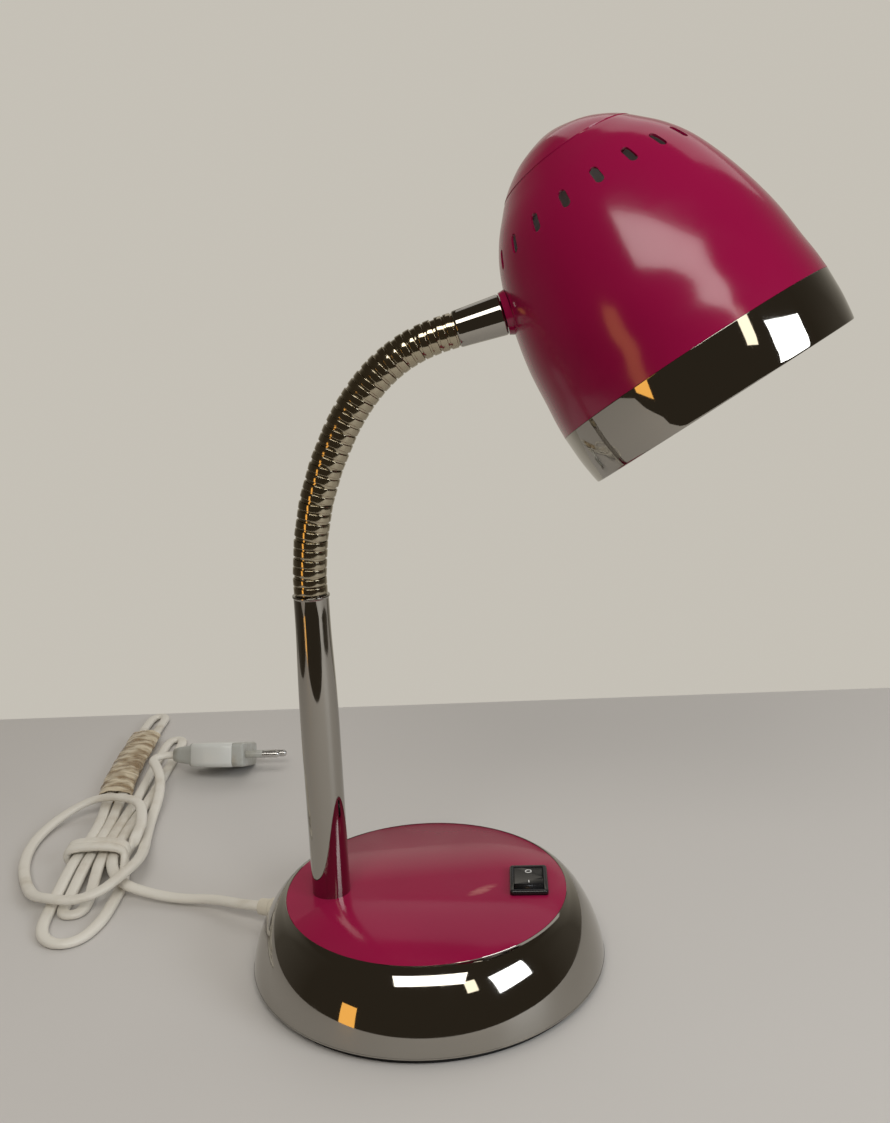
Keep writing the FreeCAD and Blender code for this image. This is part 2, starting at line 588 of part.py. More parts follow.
def build_shade():
    """Body with its vent slots, pressed-in cap and chrome rim band."""
    place = shade_place()
    body = turned("ShadeForm", shade_skin("0", "shade_t"), place)
    slots = []
    straight = "(slot_length - slot_width)"
    depth = ("2 * overrun", "-overrun")
    lean = Placement(Vector(size.slot_r, 0, size.slot_u), Rotation(Vector(0, 1, 0), 90 - size.slot_lean))
    for index in range(SLOT_COUNT):
        here = place * Placement(ORIGIN, Rotation(UP, (index + SLOT_PHASE) * 360 / SLOT_COUNT)) * lean
        slots.append(joined(block(straight, "slot_width", *depth, place=here),
                            rod("slot_width / 2", *depth, x=f"{straight} / 2", place=here),
                            rod("slot_width / 2", *depth, x=f"-{straight} / 2", place=here)))
    nipple_hole = rod("nipple_r", "shade_reach", place=ferrule_place())
    piece(less(less(body, nipple_hole), grouped(*slots)), "shade_body")
    cap_r = "(seam_r - shade_t)"
    cap_low = "(seam_u + seam_gap)"
    apex = f"({cap_low} + cap_round_r - sqrt(cap_round_r ^ 2 - {cap_r} ^ 2))"
    inner_low = (f"({apex} - cap_round_r + sqrt((cap_round_r - shade_t) ^ 2"
                 f" - ({cap_r} - shade_t) ^ 2))")
    piece(turned("shade_cap", [
        (f"{cap_r} - shade_t", "seam_u - cap_skirt"), (cap_r, "seam_u - cap_skirt"),
        (cap_r, cap_low, "cap_round_r", "out"), ("0", apex),
        ("0", f"{apex} - shade_t", "(cap_round_r - shade_t)", "in"), (f"{cap_r} - shade_t", inner_low)]),
        "shade_cap", place)
    inner_r = "(band_r - shade_t)"
    piece(turned("rim_band", [
        ("mouth_r - 2 * mouth_bead", "0"), ("mouth_r - mouth_bead", "0", "mouth_bead", "out"),
        ("mouth_r", "mouth_bead", "band_round_r", "out"), ("band_r", "band_height"),
        (inner_r, "band_height"), (f"{inner_r} - shade_t / 2", "band_height + spigot_rise"),
        (f"{inner_r} - shade_t * 3 / 2", "band_height + spigot_rise"),
        (f"{inner_r} - shade_t", "band_height", "(band_round_r - shade_t)", "in"),
        ("mouth_r - shade_t", "2 * mouth_bead"), ("mouth_r - 2 * mouth_bead", "mouth_bead")]),
        "rim_band", place)


def build_holder(wall, nut_end):
    """Bracket, lampholder, threaded shell and centre contact."""
    place = shade_place()
    tilt = math.radians(size.shade_tilt)
    inward = Vector(math.sin(tilt), 0, -math.cos(tilt))
    upward = Vector(math.cos(tilt), 0, math.sin(tilt))
    thick = size.bracket_t
    crossing = Vector(0, 0, size.shade_drop)
    leg = crossing - inward * (size.shade_reach - value(nut_end) + size.nipple_nut_t + thick)
    top = size.holder_high
    foot = leg - upward * size.bracket_down
    knee = leg + upward * size.bracket_up
    rise = Vector(-size.holder_r - thick, 0, top + thick)
    outer = [foot, knee, rise, Vector(size.bracket_over, 0, top + thick)]
    inner = [Vector(size.bracket_over, 0, top), Vector(-size.holder_r, 0, top),
             knee + inward * thick - upward * thick / 2, foot + inward * thick]
    half = Vector(0, size.bracket_width / 2, 0)
    strip = Part.Face(Part.makePolygon([corner - half for corner in outer + inner + outer[:1]]))
    strip = strip.extrude(half * 2)
    strip.Placement = place
    bracket_form = shaped(strip, "BracketForm")
    stand = rod("bracket_width / 2 - bracket_t / 4", f"{nut_end} - nipple_nut_t - {wall}", wall,
                place=ferrule_place())
    bracket = doc.addObject("Part::MultiCommon", "BracketInside")
    bracket.Shapes = [joined(bracket_form, stand), shade_solid("shade_t")]
    piece(less(bracket, rod("nipple_r", "shade_reach", place=ferrule_place()),
               rod("contact_r", "holder_high", place=place)), "holder_bracket")

    plate_low = "(holder_high - holder_wall)"
    shell_out_r = "(shell_r + shell_t)"
    side_hole = rod("flex_r", "holder_r + overrun", place=place * Placement(
        Vector(0, 0, (size.holder_low + size.holder_high) / 2), Rotation(UP, Vector(-1, 0, 0))))
    holder = turned("HolderForm", [
        ("holder_r - holder_wall", "holder_low"), ("holder_r", "holder_low"), ("holder_r", "holder_high"),
        ("contact_r", "holder_high"), ("contact_r", plate_low), ("holder_r - holder_wall", plate_low)], place)
    piece(less(holder, side_hole), "holder_body")
    piece(turned("holder_shell", [
        ("shell_r", "shell_low"), (shell_out_r, "shell_low"), (shell_out_r, plate_low),
        ("contact_r + shell_t", plate_low), ("contact_r + shell_t", f"{plate_low} - shell_t"),
        ("shell_r", f"{plate_low} - shell_t")]), "holder_shell", place)
    tip = "(bulb_cap_low + bulb_cap_length + bulb_tip)"
    piece(turned("holder_contact", [
        ("0", tip), ("contact_r - contact_t", tip), ("contact_r - contact_t", plate_low),
        ("contact_r", plate_low), ("contact_r", "holder_high"), ("0", "holder_high")]),
        "holder_contact", place)


def build_bulb():
    """Glass, screw cap with its tip, and filament."""
    place = shade_place()
    bend = "45"
    inner_r = "(bulb_r - bulb_wall)"
    neck_low = "(holder_low + bulb_wall)"
    outside = [(f"bulb_r * cos({bend})", f"bulb_centre_u + bulb_r * sin({bend})"),
               ("bulb_neck_r", neck_low), ("bulb_neck_r", "bulb_cap_low + 4 * bulb_wall")]
    inside = [("bulb_neck_r - bulb_wall", "bulb_cap_low + 4 * bulb_wall"),
              ("bulb_neck_r - bulb_wall", neck_low),
              (f"{inner_r} * cos({bend})", f"bulb_centre_u + {inner_r} * sin({bend})", inner_r, "in")]
    piece(turned("bulb_glass", [
        ("0", "bulb_centre_u - bulb_r", "bulb_r", "out"), ("bulb_r", "bulb_centre_u", "bulb_r", "out"),
        *outside, *inside[:2], (*inside[2][:2], inner_r, "in"), (inner_r, "bulb_centre_u", inner_r, "in"),
        ("0", f"bulb_centre_u - {inner_r}")]), "bulb_glass", place)
    shoulder = "(bulb_cap_low + bulb_cap_length)"
    floor = "(bulb_cap_low + 4 * bulb_wall)"
    piece(turned("bulb_cap", [
        ("0", floor), ("bulb_neck_r", floor), ("bulb_neck_r", "bulb_cap_low"), ("bulb_cap_r", "bulb_cap_low"),
        ("bulb_cap_r", f"{shoulder} - bulb_tip"), ("bulb_tip_r", shoulder),
        ("bulb_tip_r", f"{shoulder} + bulb_tip"), ("0", f"{shoulder} + bulb_tip")]), "bulb_cap", place)
    top = value(floor)
    half = size.filament_width / 2
    low = top - size.filament_drop
    points = [Vector(-half / 2, 0, top), Vector(-half / 2, 0, top - size.filament_drop / 3),
              Vector(-half, 0, low), Vector(half, 0, low), Vector(half / 2, 0, top - size.filament_drop / 3),
              Vector(half / 2, 0, top)]
    piece(shaped(tube(route("filament", points), size.filament_r), "Filament"), "filament", place)


# Bends of the wires under the weight, chosen by hand
CLAMP_TURN = 6
FLEX_BEND = (-26, 17.5)
POST_FLEX_BEND = (-24, -1)


def build_entry():
    """Mains bush, clamp with its screws, connector block, and the wires in the base and the post."""
    place = bush_place()
    piece(turned("cord_bush", [
        ("bush_bore_r", BUSH_IN_R), ("bush_shank_r", BUSH_IN_R), ("bush_shank_r", "base_r"),
        ("bush_r", "base_r"), ("bush_r", "base_r + bush_flange_t"), ("bush_nose_r", BUSH_TIP_R),
        ("bush_bore_r", BUSH_TIP_R)]), "cord_bush", place)
    tip_r = value(BUSH_TIP_R)
    turn = size.bush_turn
    middle = BLOCK_MIDDLE
    clamp_r = size.base_r - size.clamp_from_edge
    flex_points = [radial(tip_r, turn, size.bush_z), radial(size.base_r - size.bush_in, turn, size.bush_z),
                   radial(clamp_r - size.clamp_from_edge, turn - CLAMP_TURN, middle),
                   Vector(*FLEX_BEND, middle),
                   Vector(-size.block_length / 2 - 2 * size.flex_r, size.block_width / 4, middle),
                   Vector(-size.block_length / 2, size.block_width / 4, middle)]
    piece(shaped(tube(route("base_flex", flex_points), size.flex_r)), "base_flex")
    along = flex_points[2] - flex_points[1]
    heading = math.degrees(math.atan2(along.y, along.x))
    middle_point = (flex_points[1] + flex_points[2]) * 0.5
    clamp_place = Placement(Vector(middle_point.x, middle_point.y, 0), Rotation(UP, heading))
    bore = Placement(flex_points[1], Rotation(UP, along))
    clamp = block("clamp_length", "clamp_width", "bush_z + flex_r + clamp_wall - " + COVER_TOP, COVER_TOP,
                  place=clamp_place)
    clamp_top = "(bush_z + flex_r + clamp_wall)"
    sides = ("clamp_width / 3", "-clamp_width / 3")
    screws = [joined(rod("screw_r", f"{clamp_top} - {COVER_TOP}", COVER_TOP, y=y, place=clamp_place),
                     rod("screw_head_r - screw_r / 3", "cover_t", clamp_top, y=y, place=clamp_place))
              for y in sides]
    holes = [rod("screw_r", f"{clamp_top} - {COVER_TOP}", COVER_TOP, y=y, place=clamp_place) for y in sides]
    piece(less(clamp, rod("flex_r", "base_r", place=bore), *holes), "cord_clamp")
    piece(grouped(*screws), "clamp_screws")
    piece(block("block_length", "block_width", "block_height", COVER_TOP), "terminal_block")
    blade_foot = size.disc_z - size.switch_depth - size.blade_length
    blade_end = Vector(0, size.blade_pitch, -size.switch_depth - size.blade_length)
    ends = [Vector(size.switch_x, size.switch_y, blade_foot), switch_place().multVec(blade_end)]
    wires = []
    for end, side in zip(ends, (-1, 1)):
        start = Vector(size.block_length / 2, side * size.block_width / 4, middle)
        points = [start, start + Vector(size.block_length / 2, 0, 0),
                  Vector(end.x - size.bezel_width / 2, end.y, middle - size.wire_r),
                  Vector(end.x, end.y, middle - size.wire_r), end]
        wires.append(shaped(tube(route("base_wires", points), size.wire_r)))
    piece(grouped(*wires), "base_wires")
    low = value(COVER_TOP) + size.flex_r + size.ball_clearance
    rise = [Vector(-size.block_length / 2, -size.block_width / 4, middle),
            Vector(-size.block_length / 2 - 2 * size.flex_r, -size.block_width / 4, middle),
            Vector(*POST_FLEX_BEND, low),
            Vector(size.post_x, 0, low), Vector(size.post_x, 0, size.post_z + size.spigot_length)]
    piece(shaped(tube(route("post_flex", rise), size.flex_r)), "post_flex")


def build_head_flex(nut_end):
    """The flex from the nipple's head to the side of the lampholder."""
    place = shade_place()
    inner = ferrule_place()
    hole_u = (size.holder_low + size.holder_high) / 2
    start = inner.multVec(Vector(0, 0, size.neck_bush_t))
    clear = inner.multVec(Vector(0, 0, value(nut_end) + size.nipple_end + size.flex_loop))
    points = [start, clear, place.multVec(Vector(-size.holder_r - size.flex_loop, 0, hole_u)),
              place.multVec(Vector(-size.holder_r + size.holder_wall, 0, hole_u))]
    piece(shaped(tube(route("head_flex", points), size.flex_r)), "head_flex")


# The cord's route: places chosen by hand, heights from its thickness
CORD_R = (size.cord_width + size.cord_t) / 4
FLOOR = CORD_R + size.cord_gap
LIFT = FLOOR + 2 * CORD_R + size.cord_lift

LEAD_POINTS = [(-81.6, 32.0, 8.2), (-95, 42, 5.6), (-112, 47.5, 3.2), (-128, 51.4, 5.0), (-140.6, 56.4, 7.5)]
HANK_START = (-150.2, 74, LIFT)
HANK_POINTS = [
    (-151.6, 96, LIFT), (-151.2, 118, LIFT), (-152.2, 150, 3.2), (-152.2, 185, FLOOR), (-152.4, 222, FLOOR),
    (-152.6, 243, FLOOR), (-161.4, 243, FLOOR),
    (-161.6, 222, FLOOR), (-160.6, 185, FLOOR), (-158, 150, 4.6), (-156.8, 118, LIFT), (-156.9, 96, LIFT),
    (-155.6, 74, LIFT), (-153.4, 52, FLOOR), (-153.6, 39, FLOOR), (-162.6, 39, FLOOR),
    (-162.9, 53, FLOOR), (-162, 74, LIFT), (-162.2, 96, LIFT), (-162.1, 118, LIFT), (-166.6, 150, 4.8),
    (-170.8, 185, 3.9), (-172, 225, 3.9), (-172.8, 262, 3.4), (-173, 285, FLOOR), (-181.8, 285, FLOOR),
    (-182, 262, 3.4), (-180.6, 225, 3.9), (-178.8, 185, 3.9), (-173.4, 150, 4.8),
    (-167.6, 118, LIFT), (-167.5, 96, LIFT), (-168.4, 74, LIFT), (-169, 46, FLOOR), (-167, 25, FLOOR),
    (-158, 15, FLOOR), (-147.5, 17, FLOOR), (-142.4, 31, FLOOR), (-141.8, 47, FLOOR), (-141.6, 64, 2.5)]
HANK_END_POINTS = [(-143.6, 99, 10.4), (-143.8, 110, 11.2)]
WRAP_TURNS = 2
WRAP_SHARES = [(1, 0), (0.8, 1), (-0.8, 1), (-1, 0), (-0.8, -1), (0.8, -1)]
TAIL_POINTS = [
    (-149.5, 131, 12.6), (-162, 138, 13), (-177, 142.5, 10.8), (-190, 137, 6), (-197.6, 122, 3.4),
    (-199, 104, 2.8), (-195, 84, 2.8), (-186.6, 65, 3.4), (-178, 50, 6), (-168, 43, 8.4), (-157, 39.6, 8.6),
    (-146, 43.4, 9.8), (-137.6, 53.4, 13.4), (-135.6, 68, 11.4), (-137.6, 86, 7), (-141.4, 106, 4.8),
    (-144.6, 128, 3.8), (-145.4, 150, 6.4), (-148.4, 167, 9.6), (-153.6, 180, 11.4), (-158.2, 188.4, 11.8)]
SLEEVE_STATIONS = [(-171.4, 157), (-175.2, 190), (-177, 246)]


def beyond(before, point, distance):
    """The point that lies a distance past a point, in line with the one before it."""
    return point + (point - before).normalize() * distance


def wrap_points():
    """Two close turns of the cord round the hank's waist, climbing along Y."""
    points = []
    for step in range(WRAP_TURNS * len(WRAP_SHARES) + 1):
        across, upward = WRAP_SHARES[step % len(WRAP_SHARES)]
        points.append(Vector(size.wrap_x + across * size.wrap_half_width,
                             size.wrap_y + step / len(WRAP_SHARES) * size.wrap_pitch,
                             LIFT + upward * (2 * CORD_R + size.cord_lift)))
    return points


def least_gap(path, radius):
    """The least space between two stretches of a tube that are far apart along it."""
    steps = 900
    places = path.discretize(Number=steps)
    apart = int(steps * 5 * radius * 2 / path.Length)
    least = min(places[one].distanceToPoint(places[two])
                for one in range(0, steps, 2) for two in range(one + apart, steps, 2))
    return least - 2 * radius


def plug_place():
    """The plug's rear end, with X towards its pins. It leans on its far edge, held up by its cord."""
    lean = math.radians(size.plug_lean)
    reach = size.shell_width / 2 - size.grip_round
    depth = size.shell_height / 2 - size.grip_round
    rise = reach * math.sin(lean) + depth * math.cos(lean) + size.grip_round
    return Placement(Vector(size.plug_x, size.plug_y, rise + size.cord_gap),
                     Rotation(UP, size.plug_turn) * Rotation(Vector(1, 0, 0), -size.plug_lean))


def build_cord():
    """Free lead, hank with its wraps, loose ring and tail, film sleeve and plug."""
    exit_point = radial(value(BUSH_TIP_R), size.bush_turn, size.bush_z)
    plug_rear = plug_place().multVec(ORIGIN)
    hank = ([Vector(*point) for point in [HANK_START] + HANK_POINTS] + wrap_points()
            + [Vector(*point) for point in HANK_END_POINTS])
    lead = ([exit_point] + [Vector(*point) for point in LEAD_POINTS]
            + [beyond(hank[1], hank[0], size.straight_end), hank[0]])
    tail = ([hank[-1], beyond(hank[-2], hank[-1], size.straight_end)]
            + [Vector(*point) for point in TAIL_POINTS]
            + [plug_place().multVec(Vector(-size.straight_end, 0, 0)), plug_rear])
    for name, points in (("cord_lead", lead), ("cord_hank", hank), ("cord_tail", tail)):
        path = route(name, points, report=True)
        solid = tube(path, CORD_R)
        print(f"{name}: volume {solid.Volume:.0f} for {math.pi * CORD_R ** 2 * path.Length:.0f},"
              f" least gap {least_gap(path, CORD_R):.2f}")
        piece(shaped(solid, "Cord"), name)

    shells = []
    for thick in (0, size.wrap_t):
        rings = []
        for x, y in SLEEVE_STATIONS:
            ring = Part.Ellipse(Vector(x, y, size.sleeve_height / 2), size.sleeve_width / 2 - thick,
                                size.sleeve_height / 2 - thick)
            ring.Axis = Vector(0, 1, 0)
            ring.XAxis = Vector(1, 0, 0)
            rings.append(Part.Wire([ring.toShape()]))
        shells.append(Part.makeLoft(rings, True, True))
    piece(shaped(shells[0].cut(shells[1]), "Sleeve"), "cord_sleeve")

    place = plug_place()
    across = Placement(ORIGIN, Rotation(UP, Vector(1, 0, 0)))
    grip = padded("GripForm", "YZ_Plane", rounded_corners("grip_width", "grip_t", "grip_round"),
                  "grip_length")
    shell = padded("PlugForm", "YZ_Plane", rounded_corners("shell_width", "shell_height", "grip_round"),
                   "shell_length", "grip_length")
    root_start = "grip_length + shell_length - pin_root"
    sides = ("pin_spread / 2", "-pin_spread / 2")
    roots = [rod("pin_root_r", "pin_root + overrun", root_start, y=y, place=across) for y in sides]
    piece(less(joined(grip, shell), *roots), "plug_body", place)
    pins = [joined(rod("pin_root_r", "pin_root", root_start, y=y, place=across),
                   rod("pin_r", "pin_length", "grip_length + shell_length", y=y, place=across))
            for y in sides]
    piece(grouped(*pins), "plug_pins", place)


build_base()
build_post()
build_switch()
build_neck()
reach_to_wall, reach_to_nut = build_ferrule()
build_shade()
build_holder(reach_to_wall, reach_to_nut)
build_bulb()
build_entry()
build_head_flex(reach_to_nut)
build_cord()

doc.recompute()
for item in doc.Objects:
    if "Invalid" in item.State or "Error" in item.State:
        raise RuntimeError(f"{item.Label} failed: {item.State}")
for item in PIECES:
    if item.Shape.isNull() or not item.Shape.isValid():
        raise RuntimeError(f"{item.Label} has no valid shape")
os.makedirs("parts", exist_ok=True)
for item in PIECES:
    item.Shape.exportStep(f"parts/{item.Label}.step")
    print(item.Label, round(item.Shape.Volume, 1))
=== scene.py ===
import math
import bmesh
import bpy
from mathutils import Matrix, Vector


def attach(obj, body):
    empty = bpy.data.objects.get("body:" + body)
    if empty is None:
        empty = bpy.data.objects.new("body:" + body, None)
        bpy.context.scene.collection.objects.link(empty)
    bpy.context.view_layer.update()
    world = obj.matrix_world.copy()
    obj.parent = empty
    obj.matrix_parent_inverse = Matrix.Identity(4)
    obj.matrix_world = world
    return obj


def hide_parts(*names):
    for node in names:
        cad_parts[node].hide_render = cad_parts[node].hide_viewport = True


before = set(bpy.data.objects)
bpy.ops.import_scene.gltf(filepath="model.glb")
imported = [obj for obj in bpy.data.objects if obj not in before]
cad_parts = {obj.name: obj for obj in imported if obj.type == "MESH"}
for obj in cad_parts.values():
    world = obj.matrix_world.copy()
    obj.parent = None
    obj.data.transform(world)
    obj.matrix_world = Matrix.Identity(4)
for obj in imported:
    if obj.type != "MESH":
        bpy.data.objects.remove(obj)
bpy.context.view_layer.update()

MM = 0.001
UP = Vector((0, 0, 1))

# Sizes of the lamp in millimetres
POST_X, POST_Z, POST_R, SWAGE_R, SWAGE_LENGTH, SWAGE_RUN = -37.8, 152.2, 7.5, 6.65, 14.0, 28.0
DISC_R, DISC_Z, DISC_T = 55.6, 30.3, 1.2
SCUFF_X, SCUFF_Y = 22.0, -5.0
PAD_T, PAD_R, BASE_R = 2.8, 67.5, 70.0
RING_LIP, RING_WALL, CROWN_POWER = 3.6, 1.0, 1.354
LINK_COUNT, LINK_PITCH, JOINT_GAP, SEAM = 17, 7.065, 1.15, 0.02
BALL_R, BALL_DROP, BORE_R, LIP_IN_R, LIP_HEIGHT = 4.6, 2.4, 2.7, 4.75, 0.6
RIB_R, RIB_DEPTH, RIB_EDGE, RIB_GAP = 6.35, 0.5, 0.24, 0.7
CORE_R, SKIRT_R, SKIRT_IN_R, SKIRT_DROP, RECESS_R, RECESS_DROP = 5.95, 5.75, 5.2, 1.35, 5.0, 2.6
NECK_TURN = 74.8
TURN_SHARES = {1: 0.0768, 3: 0.0814, 5: 0.0981, 7: 0.0852, 9: 0.0742, 10: 0.0585,
               11: 0.0713, 12: 0.0860, 13: 0.0958, 14: 0.1047, 15: 0.0996, 16: 0.0684}
FERRULE_LENGTH = 17.6
SHADE_REACH, SHADE_DROP, SHADE_TILT, SHADE_ROLL, WALL = 66.8, 55.4, 74.55, 11.84, 0.8
BAND_HEIGHT, BAND_LAP = 19.5, 3.6
BULB_R, BULB_U, BULB_WALL = 22.5, 35.0, 0.7
SLOT_COUNT, SLOT_PHASE, SLOT_U, SLOT_LENGTH, SLOT_WIDTH, SLOT_MARGIN = 20, 0.774, 83.0, 7.0, 3.0, 2.4
SWITCH_PLACE = (40.8, -0.2, -3.0)
PIVOT_DEPTH, ROCKER_ANGLE, ROCKER_RISE = 1.4, 5.5, 3.3
MARK_Y, MARK_DEPTH, MARK_RISE = 4.9, 0.1, 0.06
PLUG_PLACE, PLUG_TURN, PLUG_LEAN = (-146.0, 194.0, 11.71), -4.0, -21.0
GRIP_LENGTH, SHELL_LENGTH, NOSE_START = 12.0, 31.0, 24.6
PIN_LENGTH, PIN_SPREAD, PIN_R, SLEEVE_LENGTH = 19.0, 18.6, 2.0, 9.5
BUSH_TURN, BUSH_Z, BUSH_REACH, BUSH_BORE = 158.6, 8.4, 8.0, 2.75


def shift(x, y, z):
    return Matrix.Translation((x, y, z))


def about(axis, degrees):
    return Matrix.Rotation(math.radians(degrees), 4, axis)


# Places of the parts, in millimetres
def neck_places():
    """The place of each link's lower joint and of the neck's end."""
    here = shift(POST_X, 0, POST_Z)
    places = []
    for index in range(LINK_COUNT):
        here = here @ about("Y", TURN_SHARES.get(index, 0) * NECK_TURN)
        places.append(here)
        here = here @ shift(0, 0, LINK_PITCH)
    return places + [here]


NECK = neck_places()
FERRULE = NECK[-1] @ about("Z", -SHADE_ROLL)
TILT = math.radians(SHADE_TILT)
SHADE = FERRULE @ shift(SHADE_DROP * math.sin(TILT), 0, SHADE_REACH + SHADE_DROP * math.cos(TILT)) \
    @ about("Y", SHADE_TILT - 180)
SWITCH = shift(SWITCH_PLACE[0], SWITCH_PLACE[1], DISC_Z) @ about("Z", SWITCH_PLACE[2])
ROCKER = SWITCH @ shift(0, 0, -PIVOT_DEPTH) @ about("X", -ROCKER_ANGLE)
PLUG = shift(*PLUG_PLACE) @ about("Z", PLUG_TURN) @ about("X", PLUG_LEAN)


# Sockets picked by number: Texture Coordinate's output, and the inputs and output of a colour Mix
OBJECT_SPACE = 3
COLOUR_A, COLOUR_B, COLOUR_OUT = 6, 7, 2


class Wire:
    """A node's output socket that can be used in plain arithmetic."""

    def __init__(self, graph, socket):
        self.graph = graph
        self.socket = socket

    def __add__(self, other):
        return self.graph.add("ShaderNodeMath", {"operation": "ADD"}, self, other)

    def __mul__(self, other):
        return self.graph.add("ShaderNodeMath", {"operation": "MULTIPLY"}, self, other)

    __radd__ = __add__
    __rmul__ = __mul__

    def step(self, low, high, start=0.0, stop=1.0):
        """The value eased from start to stop while this runs from low to high."""
        return self.graph.add("ShaderNodeMapRange", {"interpolation_type": "SMOOTHSTEP"},
                              self, low, high, start, stop)


class Finish:
    """One material: a Principled shader and the nodes that feed it."""

    def __init__(self, name, colour, roughness, metallic=0.0, **plain):
        self.material = bpy.data.materials.new(name)
        self.material.use_nodes = True
        self.tree = self.material.node_tree
        self.shader = self.tree.nodes["Principled BSDF"]
        self.set("Base Color", colour)
        self.set("Roughness", roughness)
        self.set("Metallic", metallic)
        for socket, number in plain.items():
            self.set(socket.replace("_", " "), number)
        self.material.diffuse_color = (*colour, 1)

    def put(self, socket, what):
        if isinstance(what, Wire):
            self.tree.links.new(what.socket, socket)
        elif isinstance(what, tuple) and len(what) == 3 and socket.type == "RGBA":
            socket.default_value = (*what, 1)
        else:
            socket.default_value = what

    def set(self, name, what):
        self.put(self.shader.inputs[name], what)

    def add(self, kind, settings=None, *values, output=0, **named):
        """A node of a type, with its settings, and its sockets in order or by name."""
        node = self.tree.nodes.new(kind)
        for name, setting in (settings or {}).items():
            setattr(node, name, setting)
        for socket, what in zip(node.inputs, values):
            self.put(socket, what)
        for name, what in named.items():
            self.put(node.inputs[name.replace("_", " ")], what)
        return Wire(self, node.outputs[output])

    def spot(self):
        """Object coordinates."""
        return self.add("ShaderNodeTexCoord", output=OBJECT_SPACE)

    def noise(self, scale, detail=3.0, stretch=(1, 1, 1)):
        """Noise over object coordinates that are stretched along the axes."""
        place = self.add("ShaderNodeMapping", None, Vector=self.spot(), Scale=stretch)
        return self.add("ShaderNodeTexNoise", None, Vector=place, Scale=scale, Detail=detail)

    def mix(self, share, first, second):
        node = self.tree.nodes.new("ShaderNodeMix")
        node.data_type = "RGBA"
        self.put(node.inputs["Factor"], share)
        self.put(node.inputs[COLOUR_A], first)
        self.put(node.inputs[COLOUR_B], second)
        return Wire(self, node.outputs[COLOUR_OUT])

    def bump(self, height, strength, distance):
        relief = self.add("ShaderNodeBump", None, Strength=strength, Distance=distance, Height=height)
        self.set("Normal", relief)


def gloss_paint(name, colour, deep, shine=0.5, scuff=None):
    """Sprayed gloss paint: faint orange peel, soft tone changes, and a rubbed mark where one is given."""
    paint = Finish(name, colour, 0.16, Coat_Weight=0.2 * shine, Coat_Roughness=0.06,
                   Specular_IOR_Level=shine)
    tone = paint.mix(paint.noise(14.0, 2.0).step(0.35, 0.7), colour, deep)
    if scuff:
        centre, turn, reach = scuff
        near = paint.add("ShaderNodeMapping", {"vector_type": "TEXTURE"}, Vector=paint.spot(),
                         Location=centre, Rotation=(0, 0, turn), Scale=reach)
        mark = paint.add("ShaderNodeTexGradient", {"gradient_type": "SPHERICAL"}, near)
        streaks = paint.noise(300.0, 3.0, (0.6, 2.0, 1))
        tone = paint.mix((mark * streaks).step(0.05, 0.4) * 0.55, tone, (0.56, 0.22, 0.20))
    paint.set("Base Color", tone)
    smudge = paint.noise(38.0, 4.0).step(0.45, 0.8)
    paint.set("Roughness", smudge * 0.1 + 0.14)
    paint.bump(paint.noise(520.0, 1.0), 0.05, 0.0002)
    return paint.material


def bright_plate(name, colour=(0.38, 0.36, 0.325), low=0.035):
    """Chrome plate with faint wipe marks and a few dull patches."""
    plate = Finish(name, colour, low, 1.0)
    wipes = plate.noise(60.0, 4.0, (1, 1, 0.25)).step(0.5, 0.85)
    dull = plate.noise(16.0, 3.0).step(0.55, 0.75)
    plate.set("Roughness", wipes * 0.06 + dull * 0.05 + low)
    plate.set("Base Color", plate.mix(dull * 0.5, colour, tuple(part * 0.9 for part in colour)))
    return plate.material


def moulded(name, colour, dirt, roughness=0.35, grain=900.0, depth=0.12):
    """Moulded plastic with a fine grain and dirt in soft patches."""
    plastic = Finish(name, colour, roughness)
    patches = plastic.noise(70.0, 5.0).step(0.5, 0.8)
    plastic.set("Base Color", plastic.mix(patches * 0.6, colour, dirt))
    plastic.set("Roughness", patches * 0.15 + roughness)
    plastic.bump(plastic.noise(grain, 2.0), depth, 0.0001)
    return plastic.material


def worked_metal(name, colour, roughness, stretch=(1, 1, 1), scale=400.0):
    """Plain machined or pressed metal with fine marks."""
    metal = Finish(name, colour, roughness, 1.0)
    marks = metal.noise(scale, 3.0, stretch)
    metal.set("Roughness", marks * 0.25 + (roughness - 0.1))
    metal.set("Base Color", metal.mix(metal.noise(45.0, 4.0).step(0.4, 0.75), colour,
                                      tuple(part * 0.72 for part in colour)))
    metal.bump(marks, 0.08, 0.0001)
    return metal.material


def foam_pad(name):
    pad = Finish(name, (0.012, 0.012, 0.013), 0.85)
    pad.bump(pad.noise(1500.0, 2.0), 0.5, 0.0002)
    return pad.material


def cast_metal(name):
    cast = Finish(name, (0.09, 0.09, 0.095), 0.7, 0.6)
    cast.bump(cast.noise(700.0, 5.0), 0.5, 0.0004)
    return cast.material


def crinkled_film(name):
    """Clear wrapping film gone yellow, creased, a little see-through, with painted shade darkening the
    hollows of its creases.
    """
    film = Finish(name, (0.62, 0.5, 0.33), 0.22, Coat_Weight=0.4)
    folds_and_crease_shade = film.noise(110.0, 4.0, (0.7, 1.8, 1))
    # Painted shade: the colour goes dark brown where the crease noise, which is also the bump's height, is
    # low.
    film.set("Base Color", film.mix(folds_and_crease_shade.step(0.36, 0.60), (0.36, 0.24, 0.12), (0.70, 0.60, 0.43)))
    film.set("Alpha", folds_and_crease_shade.step(0.4, 0.7, 0.62, 0.95))
    film.set("Roughness", folds_and_crease_shade * 0.3 + 0.1)
    film.bump(folds_and_crease_shade, 0.7, 0.0012)
    return film.material


def milky_glass(name):
    glass = Finish(name, (0.90, 0.89, 0.86), 0.18, Coat_Weight=0.6)
    glass.set("Base Color", glass.mix(glass.noise(30.0, 2.0), (0.92, 0.91, 0.88), (0.86, 0.85, 0.81)))
    return glass.material


